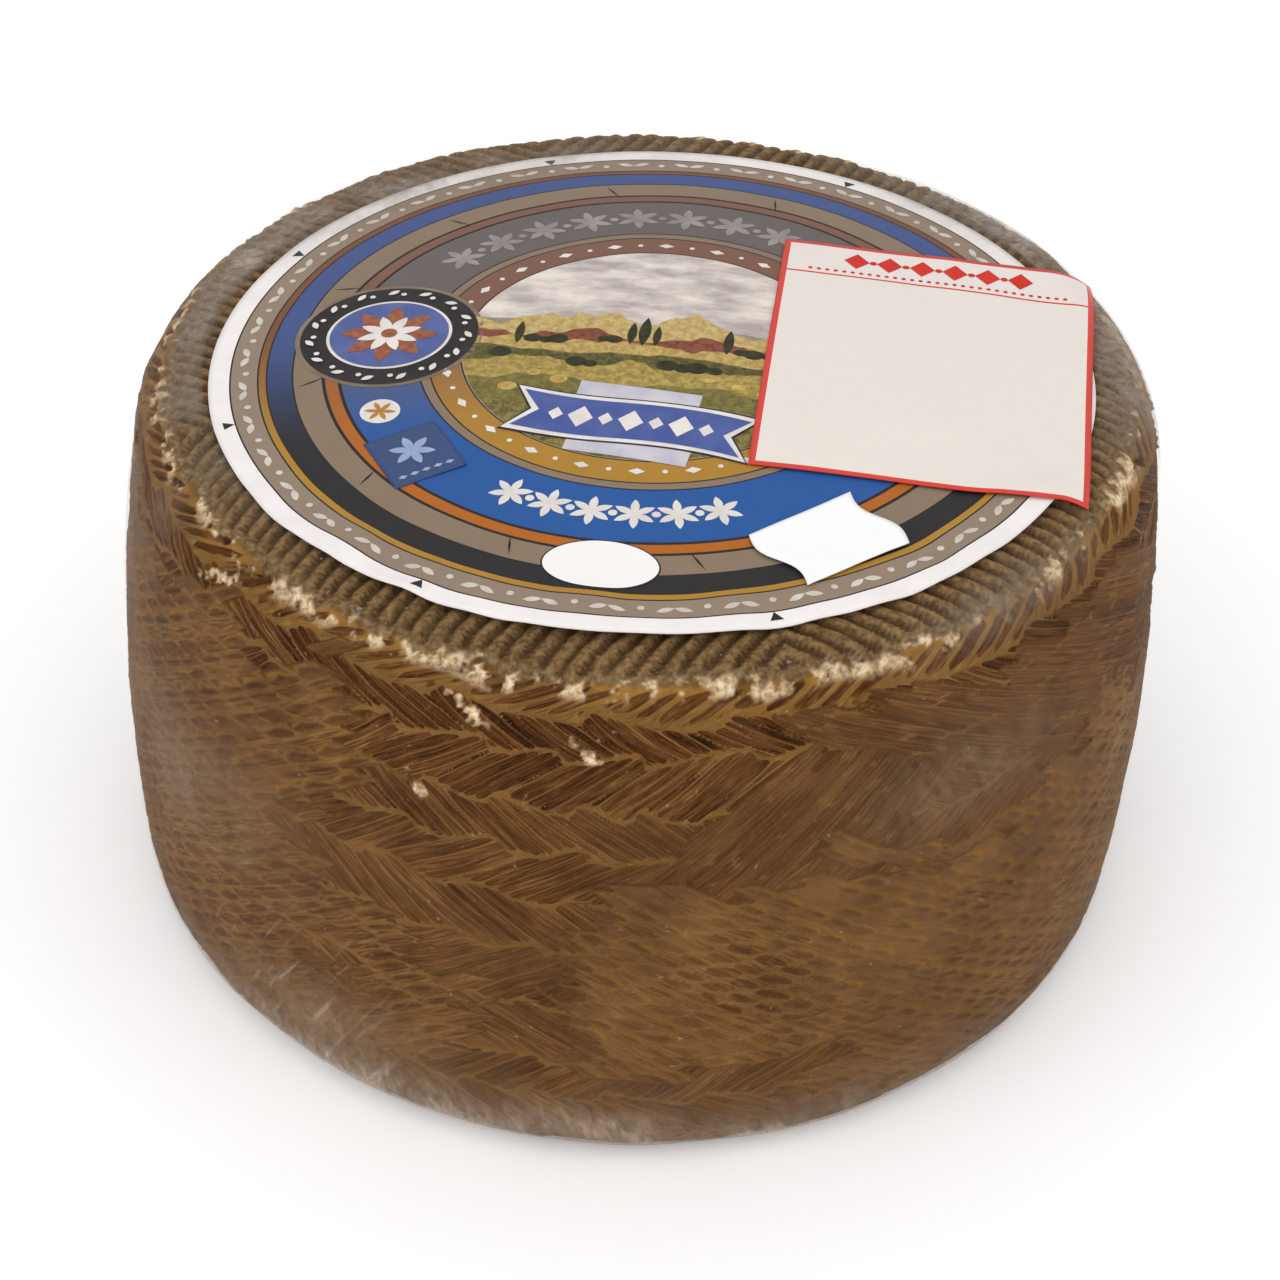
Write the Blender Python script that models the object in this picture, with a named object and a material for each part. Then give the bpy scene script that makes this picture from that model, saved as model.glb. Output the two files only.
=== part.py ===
"""A whole cured sheep's-milk cheese wheel, pressed in a mould lined with plaited grass.

Metres, +Z up. The origin is the middle of the wheel's footprint, on the surface it stands on.

The wheel is one solid: a drum a little out of round, which leans a little and has a crowned top.
Parallel ribs, one set to each quarter, cross the band between the paper label and the rim.
The rim is crumbly. Slanting strands of the plait are pressed into the side, row above row,
and each row slants the other way from the one above it, as in a herringbone.
A round paper label lies on the crown, and three stickers lie on the label.
"""

import math
from dataclasses import dataclass

import bmesh
import bpy
from mathutils import Vector, noise

MM = 0.001
SAME_KEY = 1e-6

# The wheel. Its own axis stands beside the origin, because the wheel leans and is uneven.
AXIS = Vector((-1.2 * MM, 0.7 * MM, 0.0))
EDGE_HEIGHT = 104.0 * MM  # the top, at the label's edge
CROWN = 4.6 * MM  # how much higher the middle of the top is
BASE_RADIUS = 96.6 * MM
WAIST_RADIUS = 98.3 * MM
SHOULDER_RADIUS = 94.8 * MM
BASE_ROUND = 8.8 * MM
ROUND_START = 82.5 * MM  # where the crown ends and the top starts to round over into the side
SHOULDER_ROUND = SHOULDER_RADIUS - ROUND_START
LEAN = Vector((3.5 * MM, 0.1 * MM))  # of the top, against the base
TILT = Vector((-0.003, 0.0044))  # slope of the top
OVAL = Vector((-0.0126, -0.0101))  # share of the radius, twice round the wheel
LOBES = Vector((-0.0020, 0.0078))  # share of the radius, three times round

# Ribs on the top, and the columns of the plait that go on from them down the side.
RIBS_IN_A_QUARTER = 32
QUARTERS = 4
FIRST_MITRE = math.radians(15)  # where the ribs of two quarters meet
RIB_DEPTH = 1.3 * MM
RIM_RADIUS = 89.0 * MM
COLUMNS = 2 * RIBS_IN_A_QUARTER * QUARTERS
HALF_QUARTER = COLUMNS // QUARTERS // 2
RIB_RADII = (76.0 * MM, 80.5 * MM, 84.5 * MM, RIM_RADIUS)

# The plait pressed into the side.
FIRST_ROW_TOP = 98.6 * MM
ROW_HEIGHT = 7.5 * MM
ROWS = 12
OPEN_ROWS = 3  # the top rows, where each row is a clear channel
CHANNEL_DEPTH = 0.9 * MM
STRAND_DEPTH = 0.7 * MM
STRAND_SHIFT = 5  # columns that a strand moves round in one row
CRUMBLE = 2.2 * MM  # how far the rim is broken away at its worst
CRUMBLE_LENGTH = 5.0 * MM
FOOT_RING = 2.6 * MM  # height of the last ring before the flat base
WEAR = 0.35 * MM  # unevenness of the rest of the rind
WEAR_LENGTH = 9.0 * MM

# Paper, with the gap that keeps each sheet clear of what it lies on.
GAP = 0.3 * MM
PAPER = 0.4 * MM
LABEL_RADIUS = 80.0 * MM
LABEL_PLACE = Vector((4.1 * MM, -2.0 * MM))
LABEL_RINGS = ((26.0 * MM, 24), (52.0 * MM, 48), (LABEL_RADIUS, 72))
CAP_RINGS = ((26.0 * MM, 22), (52.0 * MM, 44))
ON_LABEL = GAP + PAPER + GAP


@dataclass(frozen=True)
class Sheet:
    """A small sticker: the wheel-axis place of its lower left corner, its size, turn and mesh."""

    name: str
    corner: tuple
    width: float
    length: float
    turn: float
    cells: tuple
    wave: float = 0.0


PRICE_STICKER = Sheet(
    "price_sticker", (20.5 * MM, -37.2 * MM), 59 * MM, 77 * MM, math.radians(-6.8), (14, 7)
)
BLANK_STICKER = Sheet(
    "blank_sticker", (20.2 * MM, -56.5 * MM), 16.0 * MM, 21.8 * MM, math.radians(-54), (6, 5),
    wave=-1.2 * MM,
)
CONTROL_STICKER = Sheet(
    "control_sticker", (-40.0 * MM, -42.6 * MM), 13.5 * MM, 14.5 * MM, math.radians(26), (2, 2)
)


# ---------------------------------------------------------------- the wheel's form


def uneven(angle):
    """The radius in this direction, as a share of a true round's."""
    twice = OVAL.x * math.cos(2 * angle) + OVAL.y * math.sin(2 * angle)
    thrice = LOBES.x * math.cos(3 * angle) + LOBES.y * math.sin(3 * angle)
    return 1 + twice + thrice


def rounded(arc, off_level):
    """How far an arc of this radius has come in, at this distance from its level."""
    return math.sqrt(max(0.0, arc**2 - off_level**2))


def cap_height(radius):
    """Height of the plain top at this radius: a crown, then the shoulder's arc."""
    if radius < ROUND_START:
        return EDGE_HEIGHT + CROWN * (1 - (radius / ROUND_START) ** 2) ** 1.5
    return EDGE_HEIGHT - SHOULDER_ROUND + rounded(SHOULDER_ROUND, radius - ROUND_START)


def side_radius(height):
    """Radius of the plain side at this height: fullest at the waist and rounded at both ends."""
    top = EDGE_HEIGHT - SHOULDER_ROUND
    if height > top:
        return ROUND_START + rounded(SHOULDER_ROUND, height - top)
    if height < BASE_ROUND:
        return BASE_RADIUS - BASE_ROUND + rounded(BASE_ROUND, BASE_ROUND - height)
    share = (height - BASE_ROUND) / (top - BASE_ROUND)
    bulge = WAIST_RADIUS - (BASE_RADIUS + SHOULDER_RADIUS) / 2
    straight = BASE_RADIUS + (SHOULDER_RADIUS - BASE_RADIUS) * share
    return straight + 4 * bulge * share * (1 - share)


def place(radius, angle, height):
    """A point of the uneven, leaning wheel from its plain radius, direction and height."""
    true_radius = radius * uneven(angle)
    share = height / EDGE_HEIGHT
    x = true_radius * math.cos(angle) + LEAN.x * share
    y = true_radius * math.sin(angle) + LEAN.y * share
    return Vector((x, y, height + share * (TILT.x * x + TILT.y * y)))


def top_height(x, y):
    """Height of the plain top over a point given from the wheel's own axis."""
    height = EDGE_HEIGHT
    for _ in range(4):
        share = height / EDGE_HEIGHT
        east, north = x - LEAN.x * share, y - LEAN.y * share
        height = cap_height(math.hypot(east, north) / uneven(math.atan2(north, east)))
    return height * (1 + (TILT.x * x + TILT.y * y) / EDGE_HEIGHT)


def worn(point, most):
    """How far the rind is worn down here, smoothly uneven, up to this much."""
    return most * (1 - noise.noise(point / WEAR_LENGTH)) / 2


def crumbled(point):
    """How far the rim is broken away here."""
    return CRUMBLE * max(0.0, noise.noise(point / CRUMBLE_LENGTH))


# ---------------------------------------------------------------- building rings into solids


def next_key(ring, index):
    """The key of the point after this one: 1 back at the first, and more when none is left."""
    if index >= len(ring):
        return 2.0
    return ring[index + 1][0] if index + 1 < len(ring) else 1.0


def stitch(mesh, inner, outer):
    """Fills the band between two closed rings of (key, vertex), whose keys rise from 0 towards 1.

    Points of the same key are joined by an edge, and the others fan out to their neighbour.
    """
    i = j = 0
    while i < len(inner) or j < len(outer):
        here, there = inner[i % len(inner)][1], outer[j % len(outer)][1]
        inner_key, outer_key = next_key(inner, i), next_key(outer, j)
        together = abs(inner_key - outer_key) < SAME_KEY
        if together or outer_key < inner_key:
            j += 1
            beyond = outer[j % len(outer)][1]
            mesh.faces.new((here, there, beyond))
            there = beyond
        if together or inner_key < outer_key:
            i += 1
            mesh.faces.new((here, there, inner[i % len(inner)][1]))


def finish(mesh, name, colour, roughness, sharp=30):
    """Makes a checked object of its own from the mesh, with its own material."""
    bmesh.ops.recalc_face_normals(mesh, faces=mesh.faces)
    bmesh.ops.translate(mesh, vec=AXIS, verts=mesh.verts)
    data = bpy.data.meshes.new(name)
    mesh.to_mesh(data)
    mesh.free()
    data.shade_smooth()
    data.set_sharp_from_angle(angle=math.radians(sharp))
    data.materials.append(plain_material(name, colour, roughness))
    thing = bpy.data.objects.new(name, data)
    bpy.context.scene.collection.objects.link(thing)
    return thing


def plain_material(name, colour, roughness):
    """A Principled finish from an sRGB hex colour."""
    channels = [int(colour[i : i + 2], 16) / 255 for i in (0, 2, 4)]
    linear = [c / 12.92 if c <= 0.04045 else ((c + 0.055) / 1.055) ** 2.4 for c in channels]
    material = bpy.data.materials.new(name)
    material.use_nodes = True
    shader = material.node_tree.nodes["Principled BSDF"]
    shader.inputs["Base Color"].default_value = (*linear, 1.0)
    shader.inputs["Roughness"].default_value = roughness
    shader.inputs["Metallic"].default_value = 0.0
    return material


# ---------------------------------------------------------------- the cheese


def rib_ring(mesh, radius):
    """One ring through the ribs. A rib stays as far from its quarter's middle line all along."""
    pitch = RIM_RADIUS * math.sqrt(0.5) / HALF_QUARTER
    lines = min(HALF_QUARTER - 1, int(radius * math.sqrt(0.5) / pitch))
    ring = []
    for quarter in range(QUARTERS):
        middle = FIRST_MITRE + (quarter + 0.5) * math.tau / QUARTERS
        for line in (-HALF_QUARTER, *range(-lines, lines + 1)):
            key = (quarter + (line + HALF_QUARTER) / (2 * HALF_QUARTER)) / QUARTERS
            off_middle = max(line * pitch / radius, -math.sqrt(0.5))
            angle = middle + math.asin(off_middle)
            ring.append((key, mesh.verts.new(rib_point(radius, angle, line % 2))))
    return ring


def rib_point(radius, angle, in_furrow):
    """A point of the ribbed band, whose ribs only start beyond its first ring."""
    point = place(radius, angle, cap_height(radius))
    if radius == RIB_RADII[0]:
        return point - Vector((0, 0, GAP / 2))
    drop = RIB_DEPTH * in_furrow + worn(point, WEAR)
    if radius == RIM_RADIUS:
        drop += crumbled(point)
    return point - Vector((0, 0, drop))


def column_angle(column, evenness):
    """Direction of a column: as the ribs cross the rim at evenness 0, evenly spaced at 1."""
    quarter, step = divmod(column, COLUMNS // QUARTERS)
    line = (step - HALF_QUARTER) / HALF_QUARTER
    as_ribs = math.asin(line * math.sqrt(0.5))
    across = as_ribs + (line * math.pi / 4 - as_ribs) * evenness
    return FIRST_MITRE + (quarter + 0.5) * math.tau / QUARTERS + across


def side_levels():
    """(height, columns turned, channel depth) of each ring down the side."""
    levels = []
    for row in range(ROWS + 1):
        height = FIRST_ROW_TOP - row * ROW_HEIGHT
        levels.append((height, STRAND_SHIFT * (row % 2), 0.0))
        if row < OPEN_ROWS:
            levels.append((height - ROW_HEIGHT / 2, STRAND_SHIFT / 2, CHANNEL_DEPTH))
    levels.append((FOOT_RING, STRAND_SHIFT / 2, 0.0))
    return levels


def side_ring(mesh, height, turned, channel, evenness):
    """One ring of the side. Every second column is a strand's furrow."""
    ring = []
    at_rim = height == FIRST_ROW_TOP
    for column in range(COLUMNS):
        angle = column_angle(column, evenness) + turned * math.tau / COLUMNS
        radius = side_radius(height)
        point = place(radius, angle, height)
        depth = STRAND_DEPTH * (column % 2) + channel + worn(point, WEAR)
        if at_rim:
            depth += crumbled(point)
        outwards = Vector((math.cos(angle), math.sin(angle), 0))
        ring.append((column / COLUMNS, mesh.verts.new(point - outwards * depth)))
    return ring


def make_wheel():
    mesh = bmesh.new()
    rings = [plain_ring(mesh, radius, count, -GAP / 2) for radius, count in CAP_RINGS]
    rings += [rib_ring(mesh, radius) for radius in RIB_RADII]
    for index, level in enumerate(side_levels()):
        rings.append(side_ring(mesh, *level, evenness=min(1.0, index / 2)))
    flat = BASE_RADIUS - BASE_ROUND
    foot = []
    for column in range(COLUMNS):
        point = place(flat, column_angle(column, 1.0), 0.0)
        foot.append((column / COLUMNS, mesh.verts.new(point)))
    rings.append(foot)
    for inner, outer in zip(rings, rings[1:]):
        stitch(mesh, inner, outer)
    close_with_fan(mesh, rings[0], place_on_top(0.0, 0.0, -GAP / 2))
    mesh.faces.new([vertex for _, vertex in foot])
    bmesh.ops.triangulate(mesh, faces=[face for face in mesh.faces if len(face.verts) > 3])
    return finish(mesh, "cheese_wheel", "6B4C2E", 0.55, sharp=50)


def plain_ring(mesh, radius, count, lift):
    """A ring of the smooth crown, which the label covers."""
    ring = []
    for step in range(count):
        angle = FIRST_MITRE + math.tau * step / count
        point = place(radius, angle, cap_height(radius))
        ring.append((step / count, mesh.verts.new(point + Vector((0, 0, lift)))))
    return ring


def place_on_top(x, y, lift):
    return Vector((x, y, top_height(x, y) + lift))


def close_with_fan(mesh, ring, point):
    middle = mesh.verts.new(point)
    for (_, here), (_, there) in zip(ring, ring[1:] + ring[:1]):
        mesh.faces.new((middle, here, there))


# ---------------------------------------------------------------- label and stickers


def label_ring(mesh, radius, count, lift):
    ring = []
    for step in range(count):
        angle = math.tau * step / count
        x = LABEL_PLACE.x + radius * math.cos(angle)
        y = LABEL_PLACE.y + radius * math.sin(angle)
        ring.append((step / count, mesh.verts.new(place_on_top(x, y, lift))))
    return ring


def make_label():
    """A thin round sheet that follows the crown."""
    mesh = bmesh.new()
    edges = []
    for lift in (GAP, GAP + PAPER):
        rings = [label_ring(mesh, radius, count, lift) for radius, count in LABEL_RINGS]
        for inner, outer in zip(rings, rings[1:]):
            stitch(mesh, inner, outer)
        close_with_fan(mesh, rings[0], place_on_top(*LABEL_PLACE, lift))
        edges.append(rings[-1])
    stitch(mesh, *edges)
    return finish(mesh, "round_label", "8A7A6C", 0.6)


def lay(corner, width, turn, cells, offset):
    """Points from left to right of one row of a sheet, bent down over the rim at full length."""
    step = width / cells
    run = Vector((math.cos(turn), math.sin(turn)))
    place_now = Vector(corner) + Vector((-math.sin(turn), math.cos(turn))) * offset
    row = [place_now.copy()]
    for _ in range(cells):
        ahead = place_now + run * step
        fall = top_height(*ahead) - top_height(*place_now)
        place_now = place_now + run * step / math.hypot(1, fall / step)
        row.append(place_now.copy())
    return row


def sheet_points(sheet):
    """Rows of plan points of a sheet. Wavy ends are torn in and out along its short sides."""
    across, along = sheet.cells
    rows = []
    for index in range(along + 1):
        share = index / along
        row = lay(sheet.corner, sheet.width, sheet.turn, across, share * sheet.length)
        upwards = Vector((-math.sin(sheet.turn), math.cos(sheet.turn)))
        for column, point in enumerate(row):
            phase = math.tau * column / across
            row[column] = point + upwards * sheet.wave * math.sin(phase) * abs(2 * share - 1)
        rows.append(row)
    return rows


def make_sticker(sheet, colour, roughness):
    """A thin sheet that lies on the label and bends with the wheel."""
    mesh = bmesh.new()
    faces = []
    rows = sheet_points(sheet)
    for lift in (ON_LABEL, ON_LABEL + PAPER):
        grid = [[mesh.verts.new(place_on_top(*point, lift)) for point in row] for row in rows]
        for low, high in zip(grid, grid[1:]):
            for a, b, c, d in zip(low, low[1:], high[1:], high):
                mesh.faces.new((a, b, c))
                mesh.faces.new((a, c, d))
        faces.append(outline_of(grid))
    lower, upper = faces
    for index, vertex in enumerate(lower):
        beyond = (index + 1) % len(lower)
        mesh.faces.new((vertex, lower[beyond], upper[beyond]))
        mesh.faces.new((vertex, upper[beyond], upper[index]))
    return finish(mesh, sheet.name, colour, roughness)


def outline_of(grid):
    """The vertices round the edge of a grid, in order."""
    right = [row[-1] for row in grid[1:]]
    left = [row[0] for row in grid[-2:0:-1]]
    return grid[0] + right + grid[-1][-2::-1] + left


def main():
    """Clears the scene and makes the wheel and its papers."""
    for thing in list(bpy.data.objects):
        bpy.data.objects.remove(thing, do_unlink=True)
    make_wheel()
    make_label()
    make_sticker(PRICE_STICKER, "E6DED4", 0.45)
    make_sticker(BLANK_STICKER, "F4F3F2", 0.5)
    make_sticker(CONTROL_STICKER, "233F72", 0.45)


main()
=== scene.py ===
"""The looks of a whole cured sheep's-milk cheese wheel in clear shrink film, round its CAD frame.

The rind is pressed curd that kept the print of a plaited grass mould: ribs on the top, slanting
strands on the side. A round printed paper label and a small stuck-on square lie under the film,
and a price sticker and a blank patch are stuck on top of it.

Metres, in the CAD frame. Sizes that follow the wheel are worked out from its form.
"""

import logging
import math
from collections.abc import Callable
from dataclasses import dataclass, field, replace
from enum import Enum
from functools import cache, partial

import bpy
import numpy as np
from bpy.types import Material, Node, NodeSocket, NodeTree, Object
from mathutils import Matrix, Vector


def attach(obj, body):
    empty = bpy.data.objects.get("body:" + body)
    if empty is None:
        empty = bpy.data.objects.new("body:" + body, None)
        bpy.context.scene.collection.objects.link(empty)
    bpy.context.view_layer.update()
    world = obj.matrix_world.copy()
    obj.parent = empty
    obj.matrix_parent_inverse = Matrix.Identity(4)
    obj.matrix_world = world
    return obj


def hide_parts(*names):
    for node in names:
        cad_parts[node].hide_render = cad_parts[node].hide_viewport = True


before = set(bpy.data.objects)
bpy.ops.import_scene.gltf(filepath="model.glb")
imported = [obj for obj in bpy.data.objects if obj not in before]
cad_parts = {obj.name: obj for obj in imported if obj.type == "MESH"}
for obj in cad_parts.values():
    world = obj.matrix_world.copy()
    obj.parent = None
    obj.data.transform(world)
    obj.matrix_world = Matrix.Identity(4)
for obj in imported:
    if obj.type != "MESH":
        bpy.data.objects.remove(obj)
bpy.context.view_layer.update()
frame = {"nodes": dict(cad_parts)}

MM = 0.001
TAU = math.tau
# The radius, in millimetres, at which distances round the wheel are measured.
GIRTH = 97.0

# Which property each kind of node takes its main option in.
MAIN_OPTION = {
    "Attribute": "attribute_name", "MapRange": "interpolation_type", "Mapping": "vector_type",
    "Math": "operation", "Mix": "data_type", "TexNoise": "noise_dimensions",
    "TexWhiteNoise": "noise_dimensions", "UVMap": "uv_map", "VectorMath": "operation",
    "VectorRotate": "rotation_type"}

# What adds a node to one material.
Add = Callable[..., NodeSocket]
Array = np.ndarray
logging.basicConfig(level=logging.INFO, format="%(message)s")
log = logging.getLogger("cheese wheel")


class Slot(Enum):
    """The record's material slots."""

    RIND = "rind"
    LABEL = "label_paper"
    STICKER = "sticker_paper"
    PATCH = "white_paper"
    SQUARE = "blue_sticker"
    FILM = "clear_film"


class Slant(Enum):
    """Which way a strand of the plait runs, seen from outside."""

    RISING = 1
    FALLING = -1


class Look(Enum):
    """How the strands of one band of the plait show."""

    DASH = "short lens-shaped dashes, far apart"
    BUNDLE = "strands in overlapping bundles"
    STRAND = "long single strands"
    # The pale upper edge is a painted highlight, and the scales' dark middles are painted shade.
    SCALE = "short soft scales with a pale upper edge"


# ---------------------------------------------------------------- small tools


def linear(colour: str, alpha: float = 1.0) -> tuple[float, float, float, float]:
    """Turns an sRGB hex colour to the linear values that a shader takes.

    Args:
        colour: Six hex digits.
        alpha: The fourth value.

    Returns:
        Red, green, blue and alpha.
    """
    shares = [int(colour[i : i + 2], 16) / 255 for i in (0, 2, 4)]
    red, green, blue = (c / 12.92 if c <= 0.04045 else ((c + 0.055) / 1.055) ** 2.4 for c in shares)
    return (red, green, blue, alpha)


def feed(node: Node, inputs: dict[str | int, object]) -> None:
    """Sets a node's inputs.

    Args:
        node: The node.
        inputs: For each socket's name or place, a value, a hex colour or the output that feeds it.
    """
    shown = [socket for socket in node.inputs if socket.enabled]
    for name, value in inputs.items():
        socket = node.inputs[name] if isinstance(name, str) else shown[name]
        if isinstance(value, NodeSocket):
            node.id_data.links.new(value, socket)
        else:
            socket.default_value = linear(value) if isinstance(value, str) else value


def add_node(tree: NodeTree, kind: str, *inputs: object, out: str | int = 0,
             **settings: object) -> NodeSocket:
    """Adds a node, sets it and links it.

    Args:
        tree: The material's node tree.
        kind: The node's type without its "ShaderNode", and after a blank its main option.
        inputs: What goes into its sockets in their order, or one dict of it by the sockets' names.
        out: The output that is wanted, by its name or its place.
        settings: Values of the node's own properties.

    Returns:
        That output.
    """
    kind, _, option = kind.partition(" ")
    node = tree.nodes.new("ShaderNode" + kind)
    if option:
        settings[MAIN_OPTION[kind]] = option
    for name, value in settings.items():
        setattr(node, name, value)
    feed(node, inputs[0] if inputs and isinstance(inputs[0], dict) else dict(enumerate(inputs)))
    return node.outputs[out] if isinstance(out, str) else [o for o in node.outputs if o.enabled][out]


def new_material(name: str) -> tuple[Material, Add, Node]:
    """Starts a material.

    Args:
        name: Its name.

    Returns:
        The material, what adds a node to it, and its shader.
    """
    material = bpy.data.materials.new(name)
    material.use_nodes = True
    shader = material.node_tree.nodes["Principled BSDF"]
    return material, partial(add_node, material.node_tree), shader


def smooth(low: float, high: float, value: Array) -> Array:
    """A soft step from 0 at low to 1 at high."""
    share = np.clip((value - low) / (high - low), 0.0, 1.0)
    return share * share * (3 - 2 * share)


def turned_from(angle: Array, degrees: float) -> Array:
    """How far a direction is from one given in degrees, the short way round."""
    return np.angle(np.exp(1j * (angle - math.radians(degrees))))


def scatter(*keys: Array | int) -> Array:
    """A draw between 0 and 1 for each set of whole numbers, the same each run.

    Args:
        keys: Arrays of whole numbers, or single ones.

    Returns:
        The draws.
    """
    mixed = np.uint64(0x9E3779B9)
    for key in keys:
        whole = (np.asarray(key).astype(np.int64) & 0xFFFFFFFF).astype(np.uint64)
        mixed = ((mixed ^ whole) * np.uint64(0x85EBCA6B)) & np.uint64(0xFFFFFFFF)
        mixed = ((mixed ^ (mixed >> np.uint64(13))) * np.uint64(0xC2B2AE35)) & np.uint64(0xFFFFFFFF)
        mixed = mixed ^ (mixed >> np.uint64(16))
    return mixed.astype(float) / 2**32


def uneven_noise(points: Array, size: float, seed: int) -> Array:
    """Smooth noise between -1 and 1 in space.

    Args:
        points: Places, three numbers each.
        size: How far apart its bumps are.
        seed: Which noise.

    Returns:
        One value for each place.
    """
    scaled = points / size
    corner = np.floor(scaled)
    share = scaled - corner
    share = share * share * share * (share * (share * 6 - 15) + 10)
    corner = corner.astype(np.int64)
    total = np.zeros(points.shape[:-1])
    for step in np.ndindex(2, 2, 2):
        weight = np.ones(points.shape[:-1])
        for axis in range(3):
            weight = weight * (share[..., axis] if step[axis] else 1 - share[..., axis])
        total += weight * scatter(*(corner[..., axis] + step[axis] for axis in range(3)), seed)
    return total * 2 - 1


def deselect_all() -> None:
    """Leaves object mode with nothing selected."""
    if bpy.context.object and bpy.context.object.mode != "OBJECT":
        bpy.ops.object.mode_set(mode="OBJECT")
    bpy.ops.object.select_all(action="DESELECT")


def points_of(thing: Object) -> Array:
    """Places of a piece's points.

    Args:
        thing: The piece.

    Returns:
        Three numbers for each of its points.
    """
    places = np.empty(len(thing.data.vertices) * 3)
    thing.data.vertices.foreach_get("co", places)
    return places.reshape(-1, 3)


def select_only(thing: Object) -> None:
    """Selects one object, in object mode.

    Args:
        thing: The object.
    """
    deselect_all()
    thing.select_set(True)
    bpy.context.view_layer.objects.active = thing


def grid_piece(name: str, columns: int, rows: int) -> tuple[Object, Array, Array]:
    """Adds a grid whose points are then given their places.

    Args:
        name: The piece's name.
        columns: Cells across.
        rows: Cells up.

    Returns:
        The object, and for each point its share of the way across and up.
    """
    deselect_all()
    bpy.ops.mesh.primitive_grid_add(x_subdivisions=columns, y_subdivisions=rows, size=2.0)
    thing = bpy.context.object
    thing.name = thing.data.name = name
    across, up = (points_of(thing)[:, :2].T + 1) / 2
    return thing, across, up


def put_points(thing: Object, places: Array) -> None:
    """Gives a piece's points their places, in metres."""
    thing.data.vertices.foreach_set("co", np.ascontiguousarray(places, dtype=np.float32).ravel())
    thing.data.update()


def add_uv(thing: Object, name: str, across: Array, along: Array) -> None:
    """Gives a piece a UV map.

    Args:
        thing: The piece.
        name: The map's name.
        across: The first value at each of its points.
        along: The second.
    """
    mesh = thing.data
    for old in list(mesh.uv_layers):
        mesh.uv_layers.remove(old)
    layer = mesh.uv_layers.new(name=name)
    corner = np.empty(len(mesh.loops), dtype=np.int32)
    mesh.loops.foreach_get("vertex_index", corner)
    layer.uv.foreach_set("vector", np.stack([across[corner], along[corner]], -1).ravel())


def add_values(thing: Object, name: str, values: Array) -> None:
    """Gives a piece a named value at each of its points."""
    attribute = thing.data.attributes.new(name, "FLOAT", "POINT")
    attribute.data.foreach_set("value", np.ascontiguousarray(values, dtype=np.float32))


def close_seam(thing: Object) -> None:
    """Joins the points of a piece that lie on each other.

    Args:
        thing: The piece.
    """
    select_only(thing)
    bpy.ops.object.mode_set(mode="EDIT")
    bpy.ops.mesh.select_all(action="SELECT")
    bpy.ops.mesh.remove_doubles(threshold=1e-6)
    bpy.ops.object.mode_set(mode="OBJECT")


def shade(thing: Object) -> None:
    """Shades a piece smooth."""
    select_only(thing)
    bpy.ops.object.shade_smooth()


def mount(thing: Object, slot: Slot, material: Material, *nodes: str) -> None:
    """Puts a finished piece on the wheel's body.

    Args:
        thing: The piece.
        slot: The record's slot its finish comes from; not used.
        material: Its finish.
        nodes: The CAD nodes that it stands for.
    """
    thing.data.materials.clear()
    thing.data.materials.append(material)
    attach(thing, "root")
    if nodes:
        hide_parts(*nodes)
    log.info("%s: %d faces", thing.name, len(thing.data.polygons))


# ---------------------------------------------------------------- the wheel's form


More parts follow.
